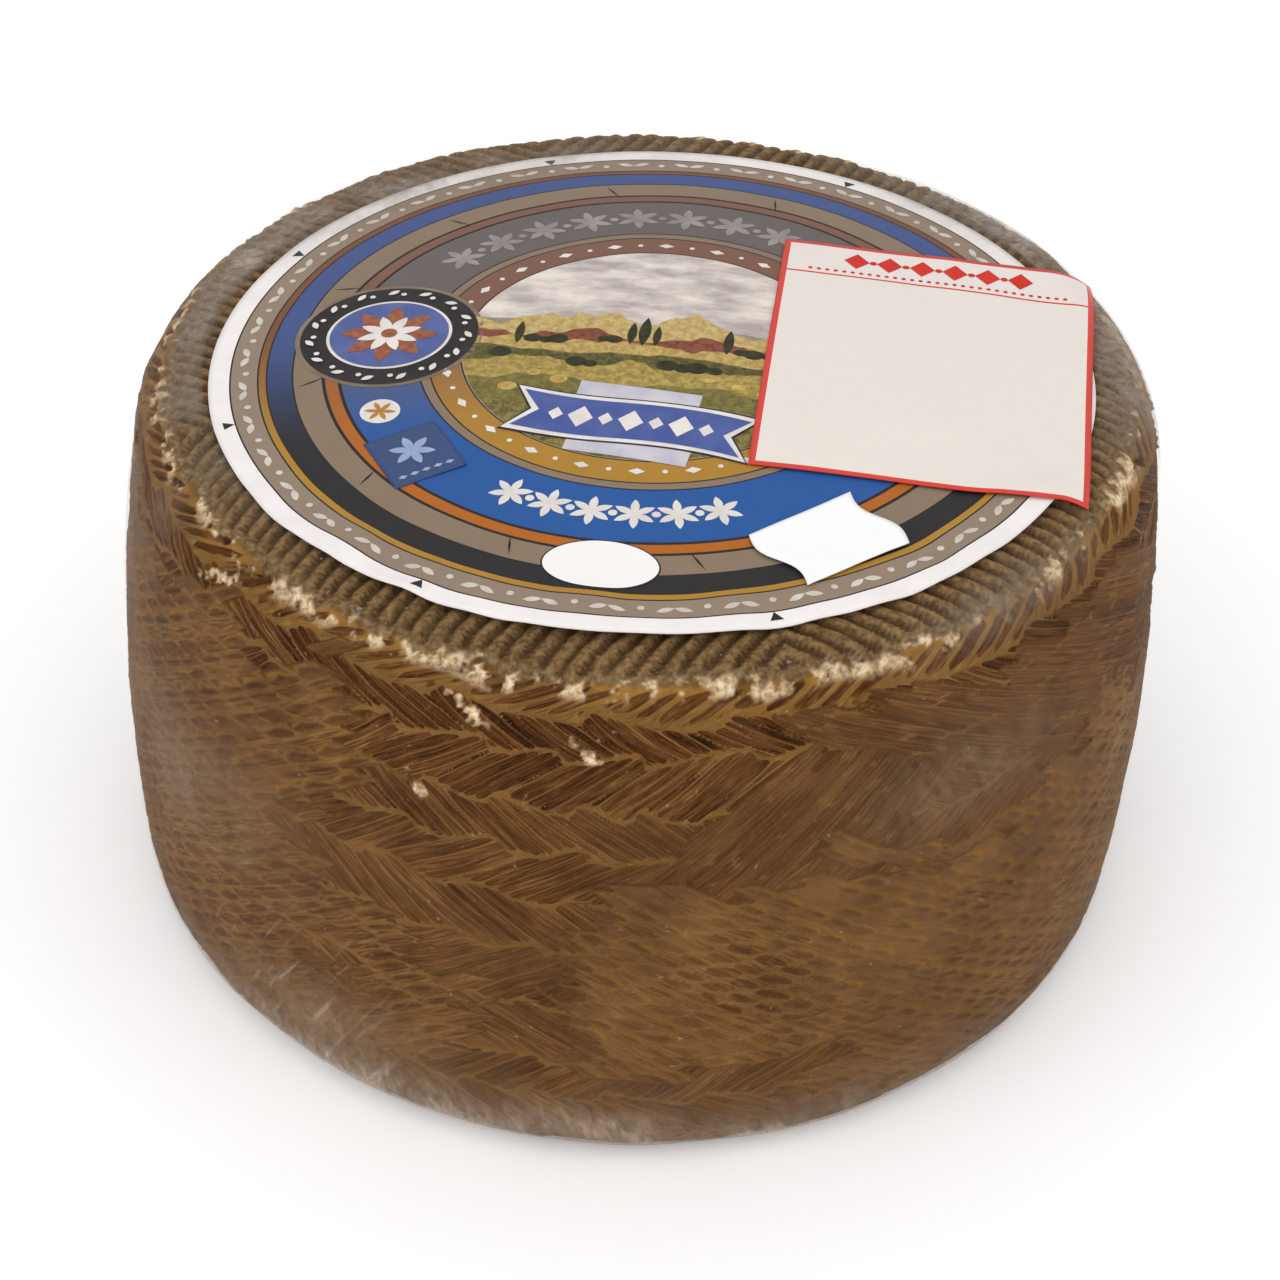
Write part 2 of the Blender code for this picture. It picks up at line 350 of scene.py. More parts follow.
@dataclass(frozen=True)
class WheelForm:
    """The wheel's plain outer form: a drum a little out of round, leaning, with a crowned top.

    Lengths along its outline are measured from where the crown ends, and are less than 0 on it.
    """

    axis: tuple[float, float] = (-1.2 * MM, 0.7 * MM)
    edge_height: float = 104.0 * MM
    crown: float = 4.6 * MM
    base_radius: float = 96.6 * MM
    waist_radius: float = 98.3 * MM
    shoulder_radius: float = 94.8 * MM
    base_round: float = 8.8 * MM
    round_start: float = 82.5 * MM
    lean: tuple[float, float] = (3.5 * MM, 0.1 * MM)
    tilt: tuple[float, float] = (-0.003, 0.0044)
    oval: tuple[float, float] = (-0.0126, -0.0101)
    lobes: tuple[float, float] = (-0.0020, 0.0078)

    @property
    def shoulder_round(self) -> float:
        """Radius of the arc between the top and the side."""
        return self.shoulder_radius - self.round_start

    @property
    def shoulder_end(self) -> float:
        """Length along the outline at which the side starts."""
        return self.shoulder_round * math.pi / 2

    @property
    def side_end(self) -> float:
        """Length along the outline at which the lower edge starts to round."""
        return self.shoulder_end + self.edge_height - self.shoulder_round - self.base_round

    @property
    def foot(self) -> float:
        """Length along the outline at which the flat base starts."""
        return self.side_end + self.base_round * math.pi / 2

    def uneven(self, angle: Array) -> Array:
        """Works out how far out of round the wheel is.

        Args:
            angle: Directions.

        Returns:
            The radius there, as a share of a true round's.
        """
        twice = self.oval[0] * np.cos(2 * angle) + self.oval[1] * np.sin(2 * angle)
        thrice = self.lobes[0] * np.cos(3 * angle) + self.lobes[1] * np.sin(3 * angle)
        return 1 + twice + thrice

    def cap_height(self, radius: Array) -> Array:
        """Works out the plain top.

        Args:
            radius: Distances from the axis.

        Returns:
            The top's height there.
        """
        share = np.minimum(1.0, radius / self.round_start)
        on_crown = self.edge_height + self.crown * (1 - share**2) ** 1.5
        off = np.maximum(0.0, radius - self.round_start)
        arc = np.sqrt(np.maximum(0.0, self.shoulder_round**2 - off**2))
        return np.where(radius < self.round_start, on_crown, self.edge_height - self.shoulder_round + arc)

    def side_radius(self, height: Array) -> Array:
        """Works out the plain side between its two rounded edges.

        Args:
            height: Heights.

        Returns:
            Its radius there.
        """
        top = self.edge_height - self.shoulder_round
        share = (height - self.base_round) / (top - self.base_round)
        bulge = self.waist_radius - (self.base_radius + self.shoulder_radius) / 2
        straight = self.base_radius + (self.shoulder_radius - self.base_radius) * share
        return straight + 4 * bulge * share * (1 - share)

    def outline(self, length: Array) -> tuple[Array, Array, Array, Array]:
        """Follows the outline.

        Args:
            length: Lengths along it.

        Returns:
            Radius and height there, and the outward direction's share along each.
        """
        on_arc = np.clip(length / self.shoulder_round, 0, math.pi / 2)
        on_foot = np.clip((length - self.side_end) / self.base_round, 0, math.pi / 2)
        side_height = self.edge_height - self.shoulder_round - (length - self.shoulder_end)
        parts = [length < 0, length < self.shoulder_end, length < self.side_end, length < self.foot]
        radius = np.select(parts, [
            self.round_start + length,
            self.round_start + self.shoulder_round * np.sin(on_arc),
            self.side_radius(side_height),
            self.base_radius - self.base_round * (1 - np.cos(on_foot)),
        ], self.base_radius - self.base_round - (length - self.foot))
        height = np.select(parts, [
            self.cap_height(self.round_start + length),
            self.edge_height - self.shoulder_round * (1 - np.cos(on_arc)),
            side_height,
            self.base_round * (1 - np.sin(on_foot)),
        ], 0.0)
        outward = np.select(parts, [0.0 * length, np.sin(on_arc), 1 + 0 * length, np.cos(on_foot)], 0.0)
        upward = np.select(parts, [1 + 0 * length, np.cos(on_arc), 0 * length, -np.sin(on_foot)], -1.0)
        return radius, height, outward, upward

    def place(self, radius: Array, angle: Array, height: Array) -> Array:
        """Places points on the uneven, leaning wheel.

        Args:
            radius: Their plain radius.
            angle: Their direction.
            height: Their plain height.

        Returns:
            Their places.
        """
        true_radius = radius * self.uneven(angle)
        share = height / self.edge_height
        east = true_radius * np.cos(angle) + self.lean[0] * share
        north = true_radius * np.sin(angle) + self.lean[1] * share
        up = height + share * (self.tilt[0] * east + self.tilt[1] * north)
        return np.stack([east + self.axis[0], north + self.axis[1], up], -1)

    def surface(self, length: Array, angle: Array, lift: Array | float = 0.0) -> Array:
        """Points on the wheel by length along the outline and direction, lifted off it."""
        radius, height, outward, upward = self.outline(length)
        return self.place(radius + outward * lift, angle, height + upward * lift)

    def top_height(self, east: Array, north: Array) -> Array:
        """Works out the plain top over points of the frame.

        Args:
            east: Their x.
            north: Their y.

        Returns:
            The top's height there.
        """
        x, y = east - self.axis[0], north - self.axis[1]
        height = np.full(np.shape(x), self.edge_height)
        for _ in range(4):
            share = height / self.edge_height
            over_x, over_y = x - self.lean[0] * share, y - self.lean[1] * share
            height = self.cap_height(np.hypot(over_x, over_y) / self.uneven(np.arctan2(over_y, over_x)))
        return height * (1 + (self.tilt[0] * x + self.tilt[1] * y) / self.edge_height)


FORM = WheelForm()


# ---------------------------------------------------------------- the plait's print


def on_ring(angle: Array) -> Array:
    """Places round a ring, for noise that meets itself after one turn."""
    return np.stack([np.cos(angle), np.sin(angle), 0 * angle], -1) * GIRTH


@dataclass(frozen=True)
class Band:
    """One row or patch of the plait, in millimetres down the outline and degrees round the wheel.

    Width is from strand to strand, across them. A band with a length has its strands cut to it.
    The key makes its draws its own.
    """

    top: float
    bottom: float
    slant: Slant
    slope: float
    width: float
    look: Look = Look.STRAND
    length: float = 0.0
    start: float = 0.0
    end: float = 360.0
    soft: float = 0.0
    curve: float = 0.0
    bundle: float = 5.0
    tone: float = 0.5
    key: int = 0

    @property
    def steepness(self) -> float:
        """Its slope as an angle."""
        return math.radians(self.slope)

    @property
    def strands_round(self) -> float:
        """How many strands a whole ring of it would have."""
        return TAU * GIRTH * math.sin(self.steepness) / self.width

    def inside(self, down: Array) -> Array:
        """How far points are from the nearer of its upper and lower edge."""
        return np.minimum(down - self.top, self.bottom - down)

    def from_sides(self, angle: Array) -> Array:
        """How far a direction is inside the nearer of its two sides, as an angle."""
        half = (self.end - self.start) / 2
        return math.radians(half) - np.abs(turned_from(angle, self.start + half))

    def leaning(self, angle: Array, below_middle: Array | float, curve: Array | float = 0.0) -> Array:
        """The direction in which the strand through each point crosses the band's middle."""
        return angle + self.slant.value * below_middle * (1 + curve) / math.tan(self.steepness) / GIRTH

    def bundles(self, lean: Array) -> tuple[Array, Array]:
        """Finds the bundles.

        Args:
            lean: Where each point's strand crosses the band's middle.

        Returns:
            A draw for the bundle that each point is in, and how far across the bundle it is.
        """
        number = max(1, round(self.strands_round / self.bundle))
        place = lean / TAU * number + 0.22 * uneven_noise(on_ring(lean), 11.0, 200 + self.key)
        return scatter(np.mod(np.floor(place), number), self.key, 3), place - np.floor(place)

    def hang(self, angle: Array) -> Array:
        """Works out how the bundles hang over the row below.

        Args:
            angle: Directions.

        Returns:
            How far they hang there, as a share of the most.
        """
        in_bundle = self.bundles(self.leaning(angle, (self.bottom - self.top) / 2, self.curve))[1]
        share = in_bundle if self.slant is Slant.RISING else 1 - in_bundle
        return smooth(0.0, 0.75, share) - smooth(0.86, 1.0, share) - 0.4

    def strand_lines(self, down: Array, angle: Array, points: Array) -> tuple[Array, Array, Array, Array]:
        """Lays the band's strands.

        Args:
            down: Points' millimetres down the outline.
            angle: Their direction.
            points: Their place.

        Returns:
            Strands across and millimetres along at each point, and its bundle's draw and share.
        """
        middle = down - (self.top + self.bottom) / 2
        off = middle / (self.bottom - self.top) * 2
        lean = self.leaning(angle, middle, self.curve * off)
        own, in_bundle = self.bundles(lean)
        wander = 0.25 * uneven_noise(on_ring(lean), 4.0, 230 + self.key)
        across = lean / TAU * round(self.strands_round) + wander
        across += 0.10 * uneven_noise(points, 7 * MM, 60 + self.key) + (own - 0.5) * (3.0 + 0.9 * off)
        return across, middle / math.sin(self.steepness), own, in_bundle

    def draw(self, cell: Array, *keys: Array | int) -> Array:
        """A draw for each strand, and for what else the keys say."""
        return scatter(np.mod(cell, round(self.strands_round)), *keys)

    def segments(self, cell: Array, along: Array) -> Array:
        """How many cut lengths along its strand each point is."""
        return along / self.length + self.draw(cell, self.key) * 7

    def patch_ends(self, down: Array, angle: Array, points: Array) -> Array:
        """Works out a patch's outline, which is uneven along its strands.

        Args:
            down: Points' millimetres down the outline.
            angle: Their direction.
            points: Their place.

        Returns:
            How many millimetres inside the patch each point is.
        """
        if self.look is Look.SCALE:
            return self._scale_ends(down, angle, points)
        lean = self.leaning(angle, down - (self.top + self.bottom) / 2)
        strands = 3.5 * uneven_noise(on_ring(lean), 6.0, 43) + 1.5 * uneven_noise(on_ring(lean), 2.2, 44)
        stray = 5.0 * uneven_noise(points, 15 * MM, 40) + 1.5 * uneven_noise(points, 5 * MM, 41)
        round_it = self.from_sides(lean) * GIRTH * math.sin(self.steepness)
        return np.minimum(self.inside(down) + strands, round_it) + stray - 1.0

    def _scale_ends(self, down: Array, angle: Array, points: Array) -> Array:
        """Works out a patch's outline so that each scale stays whole.

        Args:
            down: Points' millimetres down the outline.
            angle: Their direction.
            points: Their place.

        Returns:
            How many millimetres inside the patch the scale is that each point is on.
        """
        across, along, _, _ = self.strand_lines(down, angle, points)
        cell = np.floor(across)
        steps = self.segments(cell, along)
        back = (steps - np.floor(steps) - 0.5) * self.length
        down = down - back * math.sin(self.steepness)
        angle = angle + self.slant.value * back * math.cos(self.steepness) / GIRTH
        angle = angle - (across - cell - 0.5) / round(self.strands_round) * TAU
        spot = on_ring(angle)
        spot[..., 2] = down
        own = self.draw(cell, np.floor(steps), self.key, 8)
        stray = 9.0 * uneven_noise(spot, 16.0, 40) + 9.0 * (own - 0.5)
        return np.minimum(self.from_sides(angle) * GIRTH, self.inside(down)) + stray


@dataclass
class Print:
    """What the plait left at each point of the rind, with painted light: tone holds painted shadow beside the
    bundles, and dark and light are painted shade and highlight on the scales.
    """

    depth: Array
    across: Array
    along: Array
    reach: Array
    tone: Array
    amber: Array
    soft: Array
    dark: Array
    light: Array

    @classmethod
    def blank(cls, shape: tuple[int, ...]) -> "Print":
        """A rind with no print on it yet."""
        return cls(*(np.zeros(shape) for _ in range(9)))


@dataclass(frozen=True)
class Plait:
    """The plaited grass of the mould, whose strands are pressed into the side.

    The uneven outline of a patch stays within the margins, in millimetres and as an angle.
    """

    rows: tuple[Band, ...] = (
        Band(7.4, 12.8, Slant.RISING, 29, 2.6, Look.DASH, tone=0.42),
        Band(12.8, 20.2, Slant.FALLING, 30, 1.6, Look.BUNDLE, curve=0.06, bundle=4.5, tone=0.35),
        Band(20.2, 30.5, Slant.RISING, 39, 1.9, soft=0.1, bundle=4.0, tone=0.38),
        Band(30.5, 39.5, Slant.FALLING, 36, 1.8, soft=0.35, tone=0.4),
        Band(39.5, 49.0, Slant.RISING, 36, 1.9, soft=0.45, tone=0.42),
        Band(49.0, 60.0, Slant.FALLING, 36, 1.9, soft=0.58, tone=0.44),
        Band(60.0, 72.5, Slant.RISING, 34, 2.0, soft=0.64, tone=0.45),
        Band(72.5, 85.0, Slant.FALLING, 34, 2.0, soft=0.68, tone=0.5),
        Band(85.0, 94.5, Slant.RISING, 40, 1.9, soft=0.6, tone=0.4),
        Band(94.5, 104.0, Slant.FALLING, 34, 1.9, soft=0.55, tone=0.45),
        Band(104.0, 116.0, Slant.RISING, 36, 1.8, soft=0.4),
    )
    patches: tuple[Band, ...] = (
        Band(20.5, 48.0, Slant.RISING, 44, 0.95, Look.STRAND, 26, 277, 303, 0.5, bundle=14, tone=0.37),
        Band(15.0, 50.0, Slant.FALLING, 27, 1.35, Look.STRAND, 24, 302, 352, 0.45, bundle=14, tone=0.46),
        Band(46.0, 85.5, Slant.FALLING, 34, 2.8, Look.SCALE, 5.8, 262, 356, 0.95, bundle=90),
        Band(78.0, 104.0, Slant.FALLING, 34, 2.8, Look.SCALE, 5.8, 289, 356, 0.95, bundle=90),
        Band(19.0, 101.0, Slant.RISING, 33, 2.7, Look.SCALE, 8.5, 172, 236, 0.6, bundle=90),
        Band(66.0, 98.0, Slant.RISING, 33, 2.7, Look.SCALE, 8.5, 238, 254, 0.7, bundle=90),
        Band(40.0, 80.0, Slant.RISING, 35, 3.2, Look.SCALE, 6.5, 40, 120, 0.8, bundle=90),
    )
    boundary_wave: float = 0.8
    overhang: float = 1.9
    margin: float = 14.0
    side_margin: float = 0.45
    depths: dict[Look, float] = field(default_factory=lambda: {
        Look.DASH: 0.50, Look.BUNDLE: 0.40, Look.STRAND: 0.42, Look.SCALE: 0.22,
    })
    tapers: dict[Look, float] = field(default_factory=lambda: {
        Look.DASH: 3.0, Look.BUNDLE: 1.3, Look.STRAND: 1.2, Look.SCALE: 1.8,
    })
    steps: dict[Look, float] = field(default_factory=lambda: {Look.BUNDLE: 0.8, Look.STRAND: 0.4})

    def print_on(self, length: Array, angle: Array, points: Array) -> Print:
        """Works out the print on points of the side.

        Args:
            length: Each point's length along the outline.
            angle: Its direction.
            points: Its place.

        Returns:
            The print at each point.
        """
        made = Print.blank(length.shape)
        down = length / MM
        rows, patches = ([replace(band, key=key) for key, band in enumerate(bands, start)]
                         for bands, start in ((self.rows, 0), (self.patches, len(self.rows))))
        bottom = rows[0].top + self._wave(angle, 0)
        for band in rows:
            top = bottom
            bottom = band.bottom + self._wave(angle, band.key + 1) + self.overhang * band.hang(angle)
            inside = (down >= top) & (down < bottom)
            self._press(made, band, inside, down - top, bottom - down, down, angle, points)
        for band in patches:
            near = (band.inside(down) > -self.margin) & (band.from_sides(angle) > -self.side_margin)
            ends = np.full(down.shape, -1.0)
            if near.any():
                ends[near] = band.patch_ends(down[near], angle[near], points[near])
            self._press(made, band, ends > 0, ends, ends, down, angle, points)
        return made

    def _wave(self, angle: Array, number: int) -> Array:
        """Lets the edge above a row stray.

        Args:
            angle: Directions.
            number: The row's number.

        Returns:
            How far it strays down there, in millimetres.
        """
        ring = on_ring(angle)
        stray = uneven_noise(ring, 14.0, number) + 0.5 * uneven_noise(ring, 4.0, number + 20)
        return self.boundary_wave * stray * min(1.0, 0.4 + 0.2 * number)

    def _press(self, made: Print, band: Band, inside: Array, from_top: Array, from_bottom: Array,
               down: Array, angle: Array, points: Array) -> None:
        """Presses one band's strands into the points inside it.

        Args:
            made: The print, which takes them.
            band: The band.
            inside: Which points are in it.
            from_top: How far each point is from its strand's upper end.
            from_bottom: How far it is from the lower end.
            down: Its millimetres down the outline.
            angle: Its direction.
            points: Its place.
        """
        if not inside.any():
            return
        points, from_top, from_bottom = points[inside], from_top[inside], from_bottom[inside]
        across, along, own, in_bundle = band.strand_lines(down[inside], angle[inside], points)
        cell = np.floor(across)
        share = across - cell
        nearest = np.minimum(from_top, from_bottom)
        if band.length:
            steps = band.segments(cell, along)
            segment = np.floor(steps)
            ends = np.minimum(steps - segment, 1 - (steps - segment)) * band.length
        else:
            segment = 0 * cell
            ends = np.minimum(*(gap / math.sin(band.steepness) - 0.6 * scatter(cell, band.key, key) ** 2
                                for gap, key in ((from_top, 5), (from_bottom, 6))))
        draw = band.draw(cell, segment, band.key)
        corner = 0.4 * np.abs(2 * in_bundle - 1) ** 3
        reach = np.clip((ends - corner) / self.tapers[band.look], 0, 1)
        reach *= smooth(-0.1, 0.2, np.minimum(in_bundle, 1 - in_bundle) * band.bundle)
        if band.length and band.look is not Look.SCALE:
            reach *= smooth(-0.6, 0.6, nearest)
        lower_side = in_bundle if band.slant is Slant.FALLING else 1 - in_bundle
        step = self.steps.get(band.look, 0.0)
        shelter = smooth(0.0, 3.5, nearest)
        depth = -self.depths[band.look] * np.sin(np.pi * share) ** 0.7 * reach + 0.12 * (draw - 0.5) * reach
        depth += step * shelter * (0.5 - lower_side - 0.45 * smooth(0.86, 0.99, lower_side))
        # Painted shadow: the tone darkens on the sunken side beside each bundle's proud edge.
        tone = band.tone - 0.28 * smooth(0.55, 0.97, lower_side) * step
        near_row = 1 - smooth(0.2, 1.6, nearest)
        amber = 0.7 * (1 - reach) * near_row * smooth(0.5, 0.75, own)
        amber *= smooth(0.2, 0.4, np.abs(in_bundle - 0.5))
        if band.look is Look.DASH:
            reach *= 0.58
            amber = 0.45 * (1 - reach) * smooth(-0.4, 0.5, uneven_noise(points, 14 * MM, 300))
        if band.look is Look.SCALE:
            amber = self._paint_scale_shade_and_highlight(made, band, inside, share, 2 * (steps - segment) - 1,
                                       scatter(cell, segment, band.key, 9), points)
        made.depth[inside] = depth * MM * (1 - 0.55 * band.soft)
        made.across[inside] = across if band.slant is Slant.RISING else -across
        made.along[inside] = along + 40 * draw
        made.reach[inside] = reach
        made.tone[inside] = np.clip(tone, 0, 1)
        made.amber[inside] = np.clip(amber, 0, 1)
        made.soft[inside] = band.soft

    def _paint_scale_shade_and_highlight(self, made: Print, band: Band, inside: Array, share: Array, run: Array, draw: Array,
                      points: Array) -> Array:
        """Paints shade into each scale's middle and a highlight on its upper rim.

        Args:
            made: The print, which takes them.
            band: The band.
            inside: Which points are in it.
            share: How far across its scale each of those is, from 0 to 1.
            run: How far along it, from -1 to 1.
            draw: A draw for its scale.
            points: Its place.

        Returns:
            How amber each of those points is.
        """
        over = (0.5 - share) * band.slant.value + 0.07 * uneven_noise(points, 1.6 * MM, 301)
        chance = smooth(0.0, 0.6, draw)
        from_rim = np.abs(over) / 0.34 + run**2
        faint = 1 - 0.45 * band.soft
        rim = np.exp(-(((from_rim - 0.95) / 0.2) ** 2)) * smooth(-0.1, 0.2, over)
        # Painted shade in the scale's middle and a painted highlight on its upper rim.
        made.dark[inside] = faint * chance * (1 - smooth(0.2, 0.8, from_rim))
        made.light[inside] = faint * chance * rim
        flake = np.exp(-((run / 0.6) ** 2) - ((over - 0.36) / 0.13) ** 2)
        return 1.3 * chance * flake * smooth(0.3, 0.9, band.soft)


@dataclass(frozen=True)
class Ribs:
    """Parallel ribs on the top, one set to each quarter, as the lid of the mould left them."""

    lines_in_half: int = 38
    first_mitre: float = math.radians(15)
    rim_radius: float = 89.0 * MM
    depth: float = 0.85 * MM
    bead: float = 1.0 * MM

    def line(self, radius: Array, angle: Array, points: Array) -> tuple[Array, Array]:
        """Lays the rib lines.

        Args:
            radius: Each point's distance from the axis.
            angle: Its direction.
            points: Its place.

        Returns:
            Each point's line, even at a crest and odd in a furrow, and how far along it the point is.
        """
        quarter = np.floor((angle - self.first_mitre) / (TAU / 4))
        middle = self.first_mitre + (quarter + 0.5) * TAU / 4
        pitch = self.rim_radius * math.sqrt(0.5) / self.lines_in_half
        line = radius * np.sin(angle - middle) / pitch
        wander = 0.16 * uneven_noise(points, 7 * MM, 11) + 0.07 * uneven_noise(points, 2.2 * MM, 12)
        return line + wander + quarter * 2 * self.lines_in_half, radius * np.cos(angle - middle)

    def beads(self, line: Array, along_rib: Array, points: Array) -> Array:
        """Sets small hollows along the ribs' flanks.

        Args:
            line: Each point's rib line.
            along_rib: How far along it the point is.
            points: Its place.

        Returns:
            How far each point is in a hollow, from 0 to 1.
        """
        flank = np.exp(-(((np.abs(line - 2 * np.round(line / 2)) - 0.55) / 0.25) ** 2))
        rows = along_rib / self.bead + 0.3 * uneven_noise(points, 3 * MM, 23) + 0.37 * np.round(line / 2)
        some = smooth(-0.5, 0.3, uneven_noise(points, 4 * MM, 35))
        return smooth(-0.2, 0.9, np.cos(TAU * rows)) * flank * some


@dataclass(frozen=True)
class Chip:
    """A place where the rind is chipped away: degrees round, and millimetres down, along and across.

    A deep one is painted dark as a hole, which is painted shade.
    """

    angle: float
    down: float
    long: float
    wide: float
    turn: float
    deep: bool = False


@dataclass
class Rind:
    """The cheese itself.

    Its parts fade in between two lengths down the outline, in millimetres.
    """

    columns: int = 1800
    side: tuple[float, float] = (6.9, 8.1)
    ribs_end: tuple[float, float] = (6.5, 8.0)
    label_edge: tuple[float, float] = (-11.0, -9.0)
    rim: tuple[float, float] = (4.0, 7.0)
    crumb: tuple[float, float] = (5.4, 7.4)
    crumb_end: tuple[float, float] = (8.6, 11.2)
    least_broken: float = 0.12
    disc_start: float = 125.0
    plait: Plait = field(default_factory=Plait)
    ribs: Ribs = field(default_factory=Ribs)
    chips: tuple[Chip, ...] = (
        Chip(247.5, 33.0, 3.2, 1.3, -50),
        Chip(264.5, 20.5, 3.6, 1.1, -45),
        Chip(217.0, 14.5, 5.0, 1.4, 28),
        Chip(252.0, 15.0, 3.6, 1.0, -30),
        Chip(120.0, 26.0, 4.0, 1.4, 30),
        Chip(215.6, 8.4, 1.5, 0.8, 10, deep=True),
        Chip(346.0, 10.5, 3.0, 1.0, -20, deep=True),
    )
    crumbly: tuple[tuple[float, float, float], ...] = (
        (183, 6, 0.55), (197, 6, 0.8), (211, 3, 0.4), (227, 5.5, 1.0), (250, 6, 0.9), (263, 3, 0.7),
        (279, 5, 0.85), (292, 6, 1.0), (318, 4, 0.5), (340, 6, 0.5), (15, 9, 0.8), (48, 6, 0.6),
        (75, 8, 0.9), (110, 6, 0.8), (140, 9, 0.7), (168, 6, 0.6),
    )

    def skin(self, length: Array, angle: Array) -> tuple[Array, dict[str, Array], Print]:
        """Shapes the rind at these points.

        Args:
            length: Each point's length along the outline.
            angle: Its direction.

        Returns:
            Their places, named values for the finish, and the plait's print.
        """
        plain = FORM.surface(length, angle)
        radius = FORM.outline(length)[0]
        made = self.plait.print_on(length, angle, plain)
        down = length / MM
        on_side = smooth(*self.side, down)
        depth = made.depth * on_side
        reach = made.reach * on_side

        line, along_rib = self.ribs.line(radius, angle, plain)
        crest = 0.5 + 0.5 * np.cos(np.pi * line)
        uneven_end = 1.3 * uneven_noise(plain, 3.5 * MM, 21) + 0.8 * uneven_noise(plain, 11 * MM, 22)
        on_ribs = 1 - smooth(*self.ribs_end, down + uneven_end - 1.4 * (crest - 0.5))
        furrow = (1 - crest) ** 2.0
        beads = self.ribs.beads(line, along_rib, plain)
        depth += -self.ribs.depth * on_ribs * smooth(*self.label_edge, down) * (furrow + 0.28 * beads)
        depth += 0.10 * MM * uneven_noise(plain, 1.0 * MM, 24) * on_ribs

        rim_end = smooth(*self.rim, down + uneven_end)
        broken = smooth(*self.crumb, down + uneven_end - 1.2 * crest)
        broken = broken * (1 - smooth(*self.crumb_end, down + 0.7 * uneven_end))
        lumps = 1.2 * uneven_noise(plain, 2.5 * MM, 25) + 0.6 * uneven_noise(plain, 1.2 * MM, 26)
        lumps += 0.4 * uneven_noise(plain, 0.65 * MM, 27)
        how_broken = np.full_like(angle, self.least_broken)
        for middle, half, strength in self.crumbly:
            off = np.degrees(turned_from(angle, middle)) / half
            how_broken = np.maximum(how_broken, strength * np.exp(-(off**2)))
        how_broken += 0.2 * uneven_noise(plain, 5 * MM, 34)
        cream = broken * smooth(0.35, 0.85, lumps + 1.5 * how_broken - 0.18)
        depth += broken * MM * (0.6 * lumps * (0.4 + 0.6 * how_broken) - 0.1 - 0.3 * how_broken)
        # Painted shade: the crumb's low crevices are darkened.
        pits = broken * smooth(0.1, 0.8, 0.1 - lumps) * (0.3 + 0.7 * how_broken)

        for number, chip in enumerate(self.chips):
            cut = self._chip(chip, length, angle, plain, number)
            cream = cream * (1 - cut) + (0.0 if chip.deep else cut * smooth(-0.5, 0.6, lumps))
            # Painted shade: deep chips are darkened as holes, and so are the low parts of other chips.
            pits = np.maximum(pits, cut * (2.0 if chip.deep else smooth(-0.1, 0.8, -lumps)))
            depth += cut * MM * (0.5 * lumps - 0.35)
            reach *= 1 - cut

        depth += MM * (0.30 * uneven_noise(plain, 10 * MM, 29) + 0.07 * uneven_noise(plain, 2 * MM, 30))
        depth += 0.035 * MM * uneven_noise(plain, 0.9 * MM, 31)
        base = smooth(-1.0, 3.0, down - FORM.foot / MM)
        depth = depth * (1 - base) - base * 0.15 * MM
        shaped = FORM.surface(length, angle, depth)
        shaped[..., 2] = np.maximum(shaped[..., 2], 0.0)
        patches = uneven_noise(plain, 22 * MM, 32) + 0.5 * uneven_noise(plain, 8 * MM, 33)
        # Painted shade in the rib furrows and bead hollows, plus darker crests at the ribs' outer ends.
        hollow = 0.78 * furrow * (1 - rim_end) + 0.5 * beads + 0.35 * rim_end * crest
        worn = made.soft * (0.85 + 0.5 * patches) + 0.22 * smooth(0.0, 1.2, patches)
        values = {
            "reach": reach,
            # The tone holds the strands' own tone and painted shadow beside the bundles' proud edges.
            "tone": made.tone,
            "rib": on_ribs,
            # The furrow value is painted shade in furrows, bead hollows, crumb pits, chips and scale middles;
            # it also darkens the ribs' outer crests.
            "furrow": np.clip(hollow * on_ribs + 0.5 * pits + 0.5 * made.dark * on_side, 0, 1),
            "cream": np.clip(cream + 0.4 * rim_end * on_ribs * (1 - crest), 0, 1),
            # Painted highlight on the scales' upper rims.
            "light": 0.42 * made.light * on_side,
            "pale": np.clip((1 - smooth(8.0, 13.0, down)) * (0.8 + 0.5 * patches), 0, 1) * on_side,
            "amber": np.clip(made.amber * (1 - cream) * (0.6 + 0.5 * patches), 0, 1) * on_side,
            "soft": np.clip(worn, 0, 1) * on_side,
        }
        return shaped, values, made

    def _chip(self, chip: Chip, length: Array, angle: Array, plain: Array, number: int) -> Array:
        """Chips the rind away in one place.

        Args:
            chip: The place.
            length: Each point's length along the outline.
            angle: Its direction.
            plain: Its place on the plain form.
            number: Which chip it is, for its noise.

        Returns:
            How chipped each point is, from 0 to 1.
        """
        across = (angle - math.radians(chip.angle)) * GIRTH
        below = length / MM - chip.down
        turn = math.radians(chip.turn)
        on_long = across * math.cos(turn) - below * math.sin(turn)
        on_wide = across * math.sin(turn) + below * math.cos(turn)
        off = np.hypot(on_long / chip.long, on_wide / chip.wide)
        near = off < 3
        rough = np.zeros_like(off)
        rough[near] = 0.9 * uneven_noise(plain[near], 1.3 * MM, 80 + number)
        return smooth(0.0, 0.25, 1 - off + rough) * near

